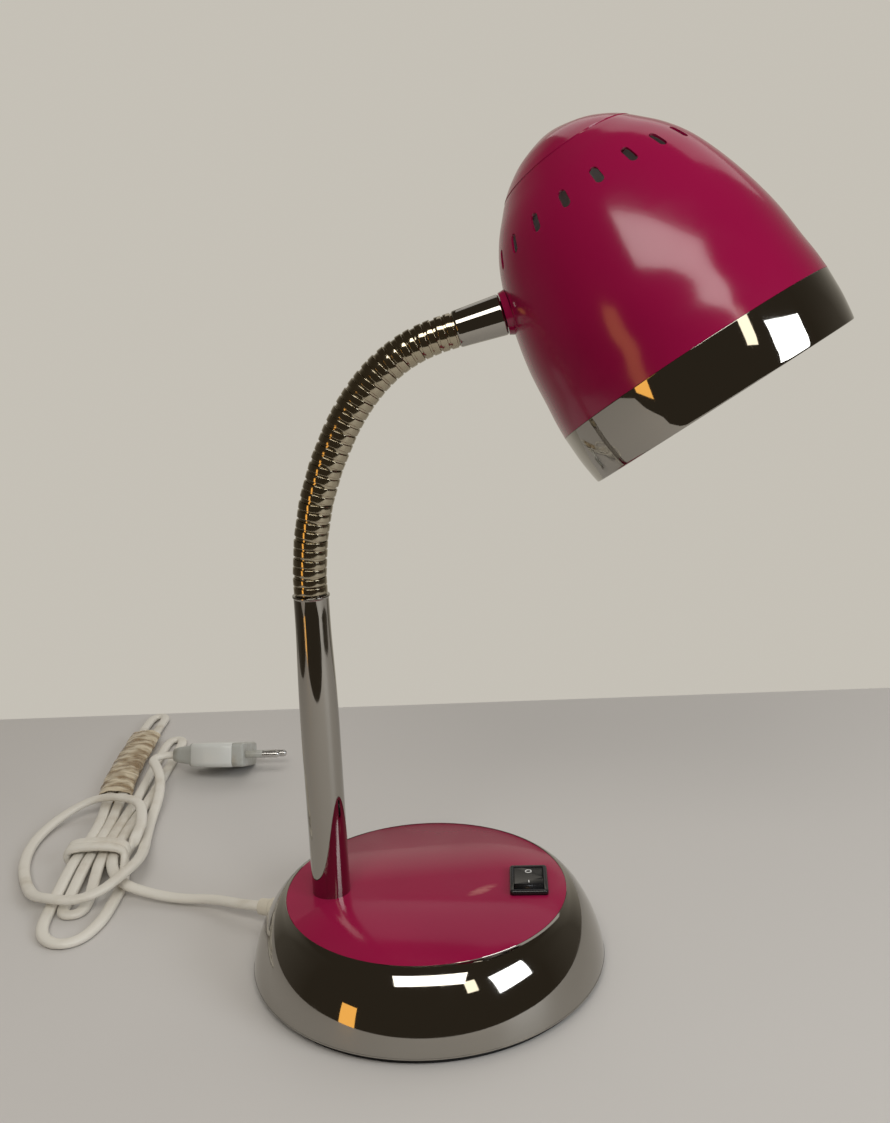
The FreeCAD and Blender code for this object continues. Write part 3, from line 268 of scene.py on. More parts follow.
def clear_grip(name):
    """The plug's cloudy grey ends."""
    grip = Finish(name, (0.42, 0.42, 0.38), 0.28)
    clouds = grip.noise(120.0, 3.0).step(0.4, 0.7)
    grip.set("Base Color", grip.mix(clouds, (0.48, 0.49, 0.46), (0.36, 0.35, 0.30)))
    return grip.material


def flex_cover(name):
    """Ivory cord cover, greyed a little in patches, with faint dents."""
    cover = Finish(name, (0.74, 0.70, 0.62), 0.38)
    dirt = cover.noise(55.0, 5.0).step(0.48, 0.8)
    cover.set("Base Color", cover.mix(dirt, (0.76, 0.73, 0.66), (0.60, 0.55, 0.46)))
    cover.set("Roughness", dirt * 0.2 + 0.34)
    cover.bump(cover.noise(300.0, 2.0), 0.1, 0.0003)
    return cover.material


MAGENTA = gloss_paint("magenta_gloss", (0.33, 0.004, 0.058), (0.29, 0.003, 0.050))
DISC_PAINT = gloss_paint("disc_gloss", (0.32, 0.010, 0.058), (0.29, 0.008, 0.052), 0.28,
                         ((SCUFF_X * MM, SCUFF_Y * MM, DISC_Z * MM), 0.61, (0.0095, 0.0032, 0.01)))
# Light grey inside paint with a pink tint; the tint is a painted glow of the magenta walls.
INSIDE = moulded("shade_inside", (0.40, 0.36, 0.37), (0.33, 0.29, 0.30), 0.4, 500.0, 0.05)
CHROME = bright_plate("chrome_plate")
NECK_CHROME = bright_plate("neck_chrome", (0.42, 0.37, 0.27), 0.10)
PAD = foam_pad("black_foam")
CAST = cast_metal("cast_weight")
STEEL = worked_metal("plain_steel", (0.56, 0.56, 0.57), 0.35)
BLACK = moulded("black_switch", (0.011, 0.011, 0.012), (0.03, 0.03, 0.03), 0.22, 1200.0, 0.05)
WHITE_MARK = moulded("switch_marks", (0.75, 0.75, 0.74), (0.6, 0.6, 0.58), 0.5)
IVORY = moulded("ivory_plastic", (0.72, 0.67, 0.56), (0.55, 0.49, 0.38))
PLUG_WHITE = moulded("plug_white", (0.70, 0.71, 0.68), (0.58, 0.57, 0.52))
PLUG_CLOUDY = clear_grip("plug_cloudy")
CORD_WHITE = flex_cover("cord_ivory")
BRASS = worked_metal("brass", (0.70, 0.52, 0.26), 0.3)
PIN_METAL = worked_metal("pin_nickel", (0.66, 0.65, 0.63), 0.25)
CERAMIC = moulded("holder_ceramic", (0.78, 0.76, 0.71), (0.66, 0.64, 0.58), 0.3)
GLASS = milky_glass("bulb_glass")
FILM = crinkled_film("sleeve_film")


def add_piece(name, mesh, body, materials, stands_for=()):
    """A finished mesh as a piece that rides on a body."""
    item = bpy.data.objects.new(name, mesh)
    bpy.context.scene.collection.objects.link(item)
    tags = [face.material_index for face in mesh.polygons]
    mesh.materials.clear()
    for material in materials:
        mesh.materials.append(material)
    mesh.polygons.foreach_set("material_index", tags)
    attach(item, body)
    if stands_for:
        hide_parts(*stands_for)
    return item


def smooth(mesh, angle=32):
    """Smooth shading, with edges sharper than an angle kept hard."""
    for face in mesh.polygons:
        face.use_smooth = True
    mesh.set_sharp_from_angle(angle=math.radians(angle))
    return mesh


def to_mesh(name, points, faces, place=Matrix.Identity(4), weld=1e-4):
    """A mesh from points in millimetres, put in place and scaled to metres."""
    shell = bmesh.new()
    spots = [shell.verts.new(place @ Vector(point)) for point in points]
    for face in faces:
        shell.faces.new([spots[corner] for corner in face])
    bmesh.ops.remove_doubles(shell, verts=shell.verts, dist=weld)
    bmesh.ops.recalc_face_normals(shell, faces=shell.faces)
    bmesh.ops.scale(shell, vec=(MM, MM, MM), verts=shell.verts)
    mesh = bpy.data.meshes.new(name)
    shell.to_mesh(mesh)
    shell.free()
    return mesh


def evaluated(carrier):
    """The mesh of an object with its modifiers applied; the object itself goes."""
    bpy.context.scene.collection.objects.link(carrier)
    bpy.context.view_layer.update()
    depsgraph = bpy.context.evaluated_depsgraph_get()
    mesh = bpy.data.meshes.new_from_object(carrier.evaluated_get(depsgraph), depsgraph=depsgraph)
    bpy.data.objects.remove(carrier)
    return mesh


def walled(name, sheet, thickness, **settings):
    """A thin sheet with a wall added on its inner side."""
    carrier = bpy.data.objects.new(name + "_sheet", sheet)
    wall = carrier.modifiers.new("Wall", "SOLIDIFY")
    wall.thickness = thickness * MM
    wall.offset = -1
    for setting, what in settings.items():
        setattr(wall, setting, what)
    mesh = evaluated(carrier)
    mesh.name = name
    return mesh


def add_node(tree, kind, links, **settings):
    """A node of a tree with its settings, and its inputs linked or filled in."""
    made = tree.nodes.new(kind)
    for name, setting in settings.items():
        setattr(made, name, setting)
    for name, what in links.items():
        if isinstance(what, bpy.types.NodeSocket):
            tree.links.new(what, made.inputs[name])
        else:
            made.inputs[name].default_value = what
    return made


def arc(radius, first, last, steps):
    """Points (radius, height) of an arc about the origin, from one angle to another in degrees."""
    angles = [math.radians(first + (last - first) * step / steps) for step in range(steps + 1)]
    return [(radius * math.cos(t), radius * math.sin(t)) for t in angles]


def eased(corners, steps=5):
    """A profile of (radius, height, fillet) corners with its fillets drawn as short arcs."""
    drawn = []
    count = len(corners)
    for index, (r, z, fillet) in enumerate(corners):
        here = Vector((r, z))
        before = Vector(corners[index - 1][:2]) - here
        after = Vector(corners[(index + 1) % count][:2]) - here
        if fillet <= 0:
            drawn.append((r, z))
            continue
        reach = min(fillet, before.length * 0.48, after.length * 0.48)
        first = here + before.normalized() * reach
        last = here + after.normalized() * reach
        for step in range(steps + 1):
            share = step / steps
            drawn.append(tuple(first * (1 - share) ** 2 + here * 2 * share * (1 - share)
                               + last * share ** 2))
    return drawn


def spun(name, outline, place=Matrix.Identity(4), around=96):
    """A closed profile of (radius, height) turned about Z."""
    points, faces = [], []
    rows = len(outline)
    for index in range(around):
        angle = 2 * math.pi * index / around
        points += [(r * math.cos(angle), r * math.sin(angle), z) for r, z in outline]
    for index in range(around):
        here, there = index * rows, (index + 1) % around * rows
        for row in range(rows):
            step = (row + 1) % rows
            corners = [here + row, there + row, there + step, here + step]
            if outline[row][0] < 1e-6:
                corners = [here + row, there + step, here + step]
            if outline[step][0] < 1e-6:
                corners = [here + row, there + row, here + step]
                if outline[row][0] < 1e-6:
                    continue
            faces.append(corners)
    return smooth(to_mesh(name, points, faces, place))


def tidy_copy(name, node, body, material, angle=30):
    """A CAD node's own shape with its facets shaded smooth, in its place."""
    shell = bmesh.new()
    shell.from_mesh(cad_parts[node].data)
    bmesh.ops.remove_doubles(shell, verts=shell.verts, dist=2e-6)
    mesh = bpy.data.meshes.new(name)
    shell.to_mesh(mesh)
    shell.free()
    return add_piece(name, smooth(mesh, angle), body, [material], [node])


def curve_through(stations, steps):
    """A smooth row of (radius, height) that runs through stations, by cubics."""
    def between(a, b, c, d, t):
        return 0.5 * (2 * b + (c - a) * t + (2 * a - 5 * b + 4 * c - d) * t ** 2
                      + (3 * b - a - 3 * c + d) * t ** 3)

    row = []
    padded = [stations[0]] + list(stations) + [stations[-1]]
    for four in zip(padded, padded[1:], padded[2:], padded[3:]):
        for step in range(steps):
            row.append(tuple(between(*(spot[k] for spot in four), step / steps) for k in (0, 1)))
    return row + [stations[-1]]


def make_base():
    """Chrome ring with its crowned side, painted disc, foam pad and the parts under it."""
    across, rise = BASE_R - DISC_R, DISC_Z - PAD_T
    crown = [(DISC_R + across * c ** CROWN_POWER, PAD_T + rise * s ** CROWN_POWER)
             for c, s in arc(1.0, 88, 0, 40)[:-1]]
    seat = [(DISC_R - RING_LIP, DISC_Z - DISC_T), (DISC_R - 0.1, DISC_Z - DISC_T),
            (DISC_R - 0.1, DISC_Z - 0.1), (DISC_R + 0.1, DISC_Z + 0.05)]
    foot = [(BASE_R, PAD_T + 0.9), (BASE_R - 0.4, PAD_T + 0.1), (BASE_R - 1.4, PAD_T), (BASE_R - 4, PAD_T),
            (BASE_R - 4, PAD_T + 0.8), (BASE_R - 1.8, PAD_T + 1.6)]
    inside = [(r - RING_WALL, z - 0.8) for r, z in reversed(crown[4:-2])]
    outline = seat + crown + foot + inside + [(DISC_R - RING_LIP, DISC_Z - DISC_T - 0.9)]
    add_piece("ring_of_chrome", spun("ring_of_chrome", outline, around=192), "base", [CHROME], ["base_ring"])
    pad = eased([(0, 0, 0), (PAD_R, 0, 0.5), (PAD_R, PAD_T, 0.3), (0, PAD_T, 0)])
    add_piece("foot_pad", spun("foot_pad", pad, around=128), "base", [PAD], ["base_pad"])
    tidy_copy("painted_disc", "base_disc", "base", DISC_PAINT)
    for node, material in (("base_weight", CAST), ("base_cover", STEEL), ("cover_screws", STEEL),
                           ("cord_clamp", IVORY), ("clamp_screws", STEEL), ("terminal_block", IVORY),
                           ("post_washer", STEEL), ("post_nut", STEEL), ("neck_plug", STEEL)):
        tidy_copy(node + "_form", node, "base", material)
    for node in ("base_flex", "base_wires", "post_flex"):
        tidy_copy(node + "_form", node, "base", CORD_WHITE, 60)


def make_post():
    """The chrome tube, drawn in at its top and rolled to a bead there."""
    foot, wall, bead = 10.0, 1.1, 0.4
    start = POST_Z - SWAGE_LENGTH - SWAGE_RUN
    outline = eased([
        (POST_R - wall, foot, 0), (POST_R, foot, 0.3), (POST_R, start, 12.0),
        (SWAGE_R, start + SWAGE_RUN, 12.0), (SWAGE_R, POST_Z - 1.2, 0.2),
        (SWAGE_R + bead, POST_Z - 0.9, 0.25), (SWAGE_R + bead, POST_Z - 0.15, 0.25),
        (SWAGE_R - 0.9, POST_Z, 0.2), (SWAGE_R - wall, POST_Z, 0), (SWAGE_R - wall, start + SWAGE_RUN, 0.3),
        (POST_R - wall, start, 0.3)])
    add_piece("post_tube", spun("post_tube", outline, shift(POST_X, 0, 0)), "base", [CHROME], ["post"])


def rib_tree():
    """Geometry nodes: a row of rounded bands along Z."""
    tree = bpy.data.node_groups.new("neck_ribs", "GeometryNodeTree")
    tree.interface.new_socket("Geometry", in_out="OUTPUT", socket_type="NodeSocketGeometry")
    sockets = {}
    for name, kind in (("Ribs", "NodeSocketInt"), ("Pitch", "NodeSocketFloat"), ("Start", "NodeSocketFloat"),
                       ("Radius", "NodeSocketFloat"), ("Band width", "NodeSocketFloat"),
                       ("Band depth", "NodeSocketFloat"), ("Edge", "NodeSocketFloat"),
                       ("Metal", "NodeSocketMaterial")):
        sockets[name] = tree.interface.new_socket(name, in_out="INPUT", socket_type=kind)
    entry = tree.nodes.new("NodeGroupInput")
    leave = tree.nodes.new("NodeGroupOutput")

    def node(kind, links, **settings):
        return add_node(tree, kind, links, **settings)

    hoop = node("GeometryNodeCurvePrimitiveCircle", {"Resolution": 72, "Radius": entry.outputs["Radius"]})
    band = node("GeometryNodeCurvePrimitiveQuadrilateral",
                {"Width": entry.outputs["Band depth"], "Height": entry.outputs["Band width"]})
    round_band = node("GeometryNodeFilletCurve",
                      {"Curve": band.outputs[0], "Radius": entry.outputs["Edge"], "Count": 4}, mode="POLY")
    solid = node("GeometryNodeCurveToMesh",
                 {"Curve": hoop.outputs[0], "Profile Curve": round_band.outputs[0]})
    first = node("ShaderNodeCombineXYZ", {"Z": entry.outputs["Start"]})
    step = node("ShaderNodeCombineXYZ", {"Z": entry.outputs["Pitch"]})
    row = node("GeometryNodeMeshLine", {"Count": entry.outputs["Ribs"], "Start Location": first.outputs[0],
                                        "Offset": step.outputs[0]})
    copies = node("GeometryNodeInstanceOnPoints", {"Points": row.outputs[0], "Instance": solid.outputs[0]})
    real = node("GeometryNodeRealizeInstances", {"Geometry": copies.outputs[0]})
    finished = node("GeometryNodeSetMaterial",
                    {"Geometry": real.outputs[0], "Material": entry.outputs["Metal"]})
    tree.links.new(finished.outputs[0], leave.inputs[0])
    return tree, sockets


def grown(name, tree, sockets, values):
    """The mesh that a tree makes from named values."""
    carrier = bpy.data.objects.new(name, bpy.data.meshes.new(name))
    modifier = carrier.modifiers.new("Grow", "NODES")
    modifier.node_group = tree
    for label, number in values.items():
        modifier[sockets[label].identifier] = number
    return evaluated(carrier)


def make_neck():
    """Seventeen links: a core with two bands and, above the first, a ball and a skirt below it."""
    low = JOINT_GAP / 2
    band = (LINK_PITCH - JOINT_GAP - RIB_GAP) / 2
    tree, sockets = rib_tree()
    ribs = grown("rib_pair", tree, sockets, {
        "Ribs": 2, "Pitch": band + RIB_GAP, "Start": low + band / 2, "Radius": RIB_R - RIB_DEPTH / 2,
        "Band width": band, "Band depth": RIB_DEPTH, "Edge": RIB_EDGE, "Metal": NECK_CHROME})
    ball = [(BORE_R, -BALL_DROP), (BALL_R * 0.85, -BALL_DROP)] + arc(BALL_R, -30, 7, 8)
    skirt = [(SKIRT_IN_R, 0.5), (SKIRT_IN_R, -SKIRT_DROP)] + arc(SKIRT_R, -13.8, 2.2, 4)
    recess = [(CORE_R, LINK_PITCH - RECESS_DROP), (RECESS_R, LINK_PITCH - RECESS_DROP)]
    for index, place in enumerate(NECK[:-1]):
        first, last = index == 0, index == LINK_COUNT - 1
        body = "base" if first else "neck_end" if last else f"link_{index + 1:02d}"
        bottom = SEAM if first else low
        top = LINK_PITCH - (SEAM if last else low)
        under = [(BORE_R, bottom)] if first else ball + skirt
        over = [(CORE_R, top)] if last else recess
        outline = under + [(CORE_R, bottom + 0.3)] + over + [
            (RECESS_R, top), (LIP_IN_R, top), (LIP_IN_R, top - LIP_HEIGHT), (BORE_R, top - LIP_HEIGHT)]
        core = spun("core", outline, around=72)
        mesh = join_meshes(f"neck_bands_{index + 1:02d}", [(core, 1.0), (ribs, MM)], place)
        add_piece(mesh.name, mesh, body, [NECK_CHROME], [f"neck_link_{index + 1:02d}"])


def join_meshes(name, parts, place):
    """Several meshes as one, each with its own scale, moved to a place in millimetres."""
    shell = bmesh.new()
    for mesh, scale in parts:
        start = len(shell.verts)
        shell.from_mesh(mesh)
        shell.verts.ensure_lookup_table()
        bmesh.ops.scale(shell, vec=(scale, scale, scale), verts=shell.verts[start:])
    in_metres = Matrix.Translation(place.to_translation() * MM) @ place.to_3x3().to_4x4()
    bmesh.ops.transform(shell, matrix=in_metres, verts=shell.verts)
    made = bpy.data.meshes.new(name)
    shell.to_mesh(made)
    shell.free()
    return smooth(made)


def make_joint():
    """Ferrule at the neck's end and the painted boss that turns in it."""
    ferrule = eased([
        (5.75, 0, 0.1), (6.2, 0, 0.3), (6.6, 0.5, 0.4), (6.7, 3.0, 1.0),
        (7.4, FERRULE_LENGTH - 0.5, 0.3),
        (7.0, FERRULE_LENGTH, 0.2), (4.9, FERRULE_LENGTH, 0), (4.9, 8.7, 0), (5.75, 8.7, 0)])
    add_piece("ferrule_cup", spun("ferrule_cup", ferrule, FERRULE), "neck_end", [CHROME], ["ferrule"])
    tidy_copy("neck_bush_form", "neck_bush", "neck_end", STEEL)
    tidy_copy("boss_cone", "shade_boss", "head", MAGENTA)
    for node in ("nipple", "nipple_nut", "holder_bracket"):
        tidy_copy(node + "_form", node, "head", STEEL)
    tidy_copy("head_flex_form", "head_flex", "head", CORD_WHITE, 60)


# Stations (radius, height above the shade's mouth) of the bell and of its cap
SHADE_STATIONS = [(52.6, 19.5), (52.3, 26), (51.6, 33), (50.1, 48), (46.3, 65), (41.1, 80), (35.4, 90),
                  (28.6, 98), (26.7, 100.0)]
CAP_STATIONS = [(26.3, 100.6), (22.2, 104), (15.8, 108), (6.8, 111.5), (3.0, 112.15), (0, 112.3)]


def make_bell():
    """The painted bell: a mesh whose rows run round each vent slot, so that the slots are open."""
    row = curve_through(SHADE_STATIONS, 6)
    lengths = [0.0]
    for before, after in zip(row, row[1:]):
        lengths.append(lengths[-1] + math.dist(before, after))

    def at(distance, angle):
        index = max(k for k in range(len(row) - 1) if lengths[k] <= distance + 1e-9)
        share = (distance - lengths[index]) / (lengths[index + 1] - lengths[index])
        r, u = (row[index][k] + (row[index + 1][k] - row[index][k]) * share for k in (0, 1))
        return r * math.cos(angle), r * math.sin(angle), u

    step = next(k for k in range(len(row) - 1) if row[k][1] <= SLOT_U < row[k + 1][1])
    share = (SLOT_U - row[step][1]) / (row[step + 1][1] - row[step][1])
    middle = lengths[step] + share * (lengths[step + 1] - lengths[step])
    radius = math.hypot(*at(middle, 0)[:2])
    patch = SLOT_LENGTH / 2 + SLOT_MARGIN
    across, along, rings = 10, 8, 5
    sector = 2 * math.pi / SLOT_COUNT
    points, faces = [], []

    def slot_edge(k):
        """A point of the slot's rounded outline that answers to a point of its patch's border."""
        half, straight = SLOT_WIDTH / 2, (SLOT_LENGTH - SLOT_WIDTH) / 2
        side, step = next((side, k - first) for side, first, last in (
            (0, 0, across), (1, across, across + along), (2, across + along, 2 * across + along),
            (3, 2 * across + along, 2 * (across + along))) if first <= k < last)
        if side in (0, 2):
            angle = math.pi * (step / across + (1 if side == 0 else 0))
            return Vector((half * math.cos(angle), half * math.sin(angle) + (side - 1) * straight))
        return Vector((half * (2 - side), straight * (2 - side) * (2 * step / along - 1)))

    def strip(distances, angles):
        start = len(points)
        for distance in distances:
            points.extend(at(distance, angle) for angle in angles)
        wide = len(angles)
        for a in range(len(distances) - 1):
            for b in range(wide - 1):
                corner = start + a * wide + b
                faces.append((corner, corner + 1, corner + wide + 1, corner + wide))

    for index in range(SLOT_COUNT):
        angles = [sector * (index + SLOT_PHASE - 0.5 + step / across) for step in range(across + 1)]
        strip([(middle - patch) * step / 30 for step in range(31)], angles)
        strip([middle + patch + (lengths[-1] - middle - patch) * step / 10 for step in range(11)], angles)
        centre = sector * (index + SLOT_PHASE)
        border = ([(-0.5 + k / across, -1) for k in range(across)]
                  + [(0.5, -1 + 2 * k / along) for k in range(along)]
                  + [(0.5 - k / across, 1) for k in range(across)]
                  + [(-0.5, 1 - 2 * k / along) for k in range(along)])
        start = len(points)
        for ring in range(rings + 1):
            share = (ring / rings) ** 0.8
            for k, (x, y) in enumerate(border):
                spot = Vector((x * sector * radius, y * patch)).lerp(slot_edge(k), share)
                points.append(at(middle + spot.y, centre + spot.x / radius))
        count = len(border)
        for ring in range(rings):
            for k in range(count):
                faces.append((start + ring * count + k, start + ring * count + (k + 1) % count,
                              start + (ring + 1) * count + (k + 1) % count, start + (ring + 1) * count + k))
    skin = to_mesh("shade_skin", points, faces, SHADE, weld=2e-3)
    outside = sum(face.normal.dot(face.center - SHADE @ Vector((0, 0, 50)) * MM) for face in skin.polygons)
    if outside < 0:
        skin.flip_normals()
    skin.materials.append(MAGENTA)
    skin.materials.append(INSIDE)
    bell = walled("shade_bell", skin, WALL, material_offset=1, material_offset_rim=0)
    add_piece("shade_bell", smooth(bell, 40), "head", [MAGENTA, INSIDE], ["shade_body"])


def make_crown_and_band():
    """The cap pressed on the bell, and the chrome band round its mouth."""
    cap = curve_through(CAP_STATIONS, 5)
    outline = ([(25.55, 96.5), (26.15, 96.3), (26.15, 100.0)] + cap + [(0, 111.45)]
               + [(r * 0.97, u - 0.85) for r, u in reversed(cap[:-1])])
    crown = spun("shade_crown", outline, SHADE, 144)
    add_piece("shade_crown", crown, "head", [MAGENTA, INSIDE], ["shade_cap"])
    band = eased([
        (49.6, 1.4, 0.3), (49.9, 0.1, 0.5), (51.0, 0.1, 0.7), (51.45, 2.6, 1.5), (52.3, 9.5, 3.0),
        (52.6, BAND_HEIGHT, 0.25), (51.75, BAND_HEIGHT, 0), (51.4, BAND_HEIGHT + BAND_LAP, 0.2),
        (50.8, BAND_HEIGHT + BAND_LAP, 0.2), (51.0, BAND_HEIGHT - 1, 0.5), (51.3, 9.5, 2.0),
        (50.1, 2.4, 0.8)], 6)
    add_piece("rim_chrome", spun("rim_chrome", band, SHADE, 160), "head", [CHROME], ["rim_band"])


def make_lamp():
    """Lampholder, bulb and the parts between them."""
    tidy_copy("holder_form", "holder_body", "head", CERAMIC)
    tidy_copy("holder_thread", "holder_shell", "head", BRASS)
    tidy_copy("holder_tongue", "holder_contact", "head", BRASS)
    tidy_copy("bulb_foot", "bulb_cap", "head", BRASS)
    tidy_copy("bulb_coil", "filament", "head", STEEL, 60)
    globe = [(r, BULB_U + u) for r, u in arc(BULB_R, -90, 45, 40)]
    neck = curve_through([globe[-1], (11.5, 56.5), (8.4, 61.5), (6.9, 66), (6.6, 74)], 6)[1:]
    outline = globe + neck + [(5.9, 74)] + [
        (max(0.0, r - BULB_WALL), u + (BULB_WALL if u < BULB_U else 0)) for r, u in reversed(globe + neck)]
    add_piece("bulb_globe", spun("bulb_globe", outline, SHADE, 96), "head", [GLASS], ["bulb_glass"])


def make_switch():
    """The rocker switch, with O and I standing up from its key."""
    tidy_copy("switch_frame", "switch_housing", "base", BLACK)
    tidy_copy("switch_prongs", "switch_terminals", "base", BRASS)
    tidy_copy("switch_key", "switch_rocker", "rocker", BLACK)
    tidy_copy("switch_seesaw", "switch_lever", "lever", BRASS)
    slope = math.tan(math.radians(ROCKER_ANGLE))
    for name, side in (("mark_off", 1), ("mark_on", -1)):
        place = (ROCKER @ shift(0, side * MARK_Y, ROCKER_RISE + MARK_Y * slope + 0.02)
                 @ about("X", side * ROCKER_ANGLE))
        if side > 0:
            outline = eased([(0.95, -MARK_DEPTH, 0), (1.35, -MARK_DEPTH, 0), (1.35, MARK_RISE, 0.05),
                             (0.95, MARK_RISE, 0.05)], 3)
            mesh = spun(name, outline, place, 40)
        else:
            half, tall = 0.2, 1.25
            end = arc(half, 0, 180, 8)
            ring = [(x, tall + y) for x, y in end] + [(-x, -tall - y) for x, y in end]
            count = len(ring)
            points = [(x, y, -MARK_DEPTH) for x, y in ring] + [(x, y, MARK_RISE) for x, y in ring]
            faces = [tuple(range(count)), tuple(range(count, 2 * count))] + [
                (k, (k + 1) % count, count + (k + 1) % count, count + k) for k in range(count)]
            mesh = smooth(to_mesh(name, points, faces, place))
        add_piece(name, mesh, "rocker", [WHITE_MARK])


# The cord's route in millimetres: from the base, through the hank and its wrap, to the plug
FLOOR, LIFT = 2.35, 7.35
LEAD_POINTS = [(-81.6, 32.0, 8.2), (-95, 42, 5.6), (-112, 47.5, 3.2), (-128, 51.4, 5.0), (-140.6, 56.4, 7.5)]
HANK_POINTS = [
    (-150.2, 74, LIFT), (-151.6, 96, LIFT), (-151.2, 118, LIFT), (-152.2, 150, 3.2), (-152.2, 185, FLOOR),
    (-152.4, 222, FLOOR), (-152.6, 243, FLOOR), (-161.4, 243, FLOOR),
    (-161.6, 222, FLOOR), (-160.6, 185, FLOOR), (-158, 150, 4.6), (-156.8, 118, LIFT), (-156.9, 96, LIFT),
    (-155.6, 74, LIFT), (-153.4, 52, FLOOR), (-153.6, 39, FLOOR), (-162.6, 39, FLOOR),
    (-162.9, 53, FLOOR), (-162, 74, LIFT), (-162.2, 96, LIFT), (-162.1, 118, LIFT), (-166.6, 150, 4.8),
    (-170.8, 185, 3.9), (-172, 225, 3.9), (-172.8, 262, 3.4), (-173, 285, FLOOR), (-181.8, 285, FLOOR),
    (-182, 262, 3.4), (-180.6, 225, 3.9), (-178.8, 185, 3.9), (-173.4, 150, 4.8),
    (-167.6, 118, LIFT), (-167.5, 96, LIFT), (-168.4, 74, LIFT), (-169, 46, FLOOR), (-167, 25, FLOOR),
    (-158, 15, FLOOR), (-147.5, 17, FLOOR), (-142.4, 31, FLOOR), (-141.8, 47, FLOOR), (-141.6, 64, 2.5)]
WRAP_SHARES = [(1, 0), (0.8, 1), (-0.8, 1), (-1, 0), (-0.8, -1), (0.8, -1)]
WRAP_X, WRAP_Y, WRAP_HALF, WRAP_PITCH, WRAP_RISE = -159.4, 82.0, 14.8, 5.2, 5.0
WRAP_POINTS = [(WRAP_X + WRAP_SHARES[step % 6][0] * WRAP_HALF, WRAP_Y + step / 6 * WRAP_PITCH,
                LIFT + WRAP_SHARES[step % 6][1] * WRAP_RISE) for step in range(13)]
TAIL_POINTS = [
    (-143.6, 99, 10.4), (-143.8, 110, 11.2), (-149.5, 131, 12.6), (-162, 138, 13), (-177, 142.5, 10.8),
    (-190, 137, 6), (-197.6, 122, 3.4), (-199, 104, 2.8), (-195, 84, 2.8), (-186.6, 65, 3.4), (-178, 50, 6),
    (-168, 43, 8.4), (-157, 39.6, 8.6), (-146, 43.4, 9.8), (-137.6, 53.4, 13.4), (-135.6, 68, 11.4),
    (-137.6, 86, 7), (-141.4, 106, 4.8), (-144.6, 128, 3.8), (-145.4, 150, 6.4), (-148.4, 167, 9.6),
    (-153.6, 180, 11.4), (-158.2, 188.4, 11.8)]
CORD_WIDTH, CORD_THICK, CORD_SINK = 5.4, 3.4, 0.55
CORD_AROUND, CORD_SQUARENESS = 20, 0.8
PLUG_ENTRY = (-8.5, 0.4)
FILM_STATIONS = [(-171.4, 157), (-175.2, 190), (-177, 246)]
FILM_HALF_WIDTH, FILM_HALF_HEIGHT, FILM_WALL = 9.1, 3.75, 0.18


def cord_line():
    """The cord's centreline as points of one smooth spline, and how far each lies in the wrap."""
    exit_r = BASE_R + BUSH_REACH
    turn = math.radians(BUSH_TURN)
    first = (exit_r * math.cos(turn), exit_r * math.sin(turn), BUSH_Z)
    rear = [tuple(PLUG @ Vector((reach, 0, 0))) for reach in PLUG_ENTRY]
    middle = LEAD_POINTS + HANK_POINTS + WRAP_POINTS + TAIL_POINTS
    points = [first] + middle + rear
    curve = bpy.data.curves.new("cord_route", "CURVE")
    curve.dimensions = "3D"
    spline = curve.splines.new("NURBS")
    spline.points.add(len(points) - 1)
    for spot, point in zip(spline.points, points):
        sink = 0 if point in rear or point == first else CORD_SINK
        spot.co = (point[0] * MM, point[1] * MM, (point[2] - sink) * MM, 1)
    spline.order_u = 3
    spline.use_endpoint_u = True
    spline.resolution_u = 10
    line = evaluated(bpy.data.objects.new("cord_route", curve))
    spots = [vertex.co.copy() for vertex in line.vertices]
    start = 1 + len(LEAD_POINTS) + len(HANK_POINTS)
    stop = start + len(WRAP_POINTS)
    shares = []
    for index in range(len(spots)):
        control = index / (len(spots) - 1) * (len(points) - 2) + 0.5
        inward = min(control - start + 1.2, stop - control + 0.2)
        shares.append(min(1.0, max(0.0, inward / 1.5)))
    return spots, shares, Vector(first) * MM


def make_cord():
    """The flat flex, from the base's bush to the plug, as one tube with an oval section."""
    spots, shares, exit_point = cord_line()
    centre = Vector((WRAP_X, 0, LIFT - CORD_SINK)) * MM
    points, faces = [], []
    around = CORD_AROUND
    for index, (spot, share) in enumerate(zip(spots, shares)):
        along = (spots[min(index + 1, len(spots) - 1)] - spots[max(index - 1, 0)]).normalized()
        outward = spot - centre
        outward.y = 0
        facing = (UP * (1 - share) + outward.normalized() * share).normalized()
        side = along.cross(facing).normalized()
        top = side.cross(along).normalized()
        for k in range(around):
            angle = 2 * math.pi * k / around
            c, s = math.cos(angle), math.sin(angle)
            flat = Vector((math.copysign(abs(c) ** CORD_SQUARENESS, c) * CORD_WIDTH / 2,
                           math.copysign(abs(s) ** CORD_SQUARENESS, s) * CORD_THICK / 2)) * MM
            points.append(spot + side * flat.x + top * flat.y)
    for index in range(len(spots) - 1):
        for k in range(around):
            a, b = index * around + k, index * around + (k + 1) % around
            faces.append((a, b, b + around, a + around))
    faces += [tuple(range(around)), tuple(range(len(points) - around, len(points)))]
    mesh = to_mesh("cord_flex", [point / MM for point in points], faces)
    cord = add_piece("cord_flex", smooth(mesh, 60), "base", [CORD_WHITE],
                     ["cord_lead", "cord_hank", "cord_tail"])
    return cord, spots, exit_point


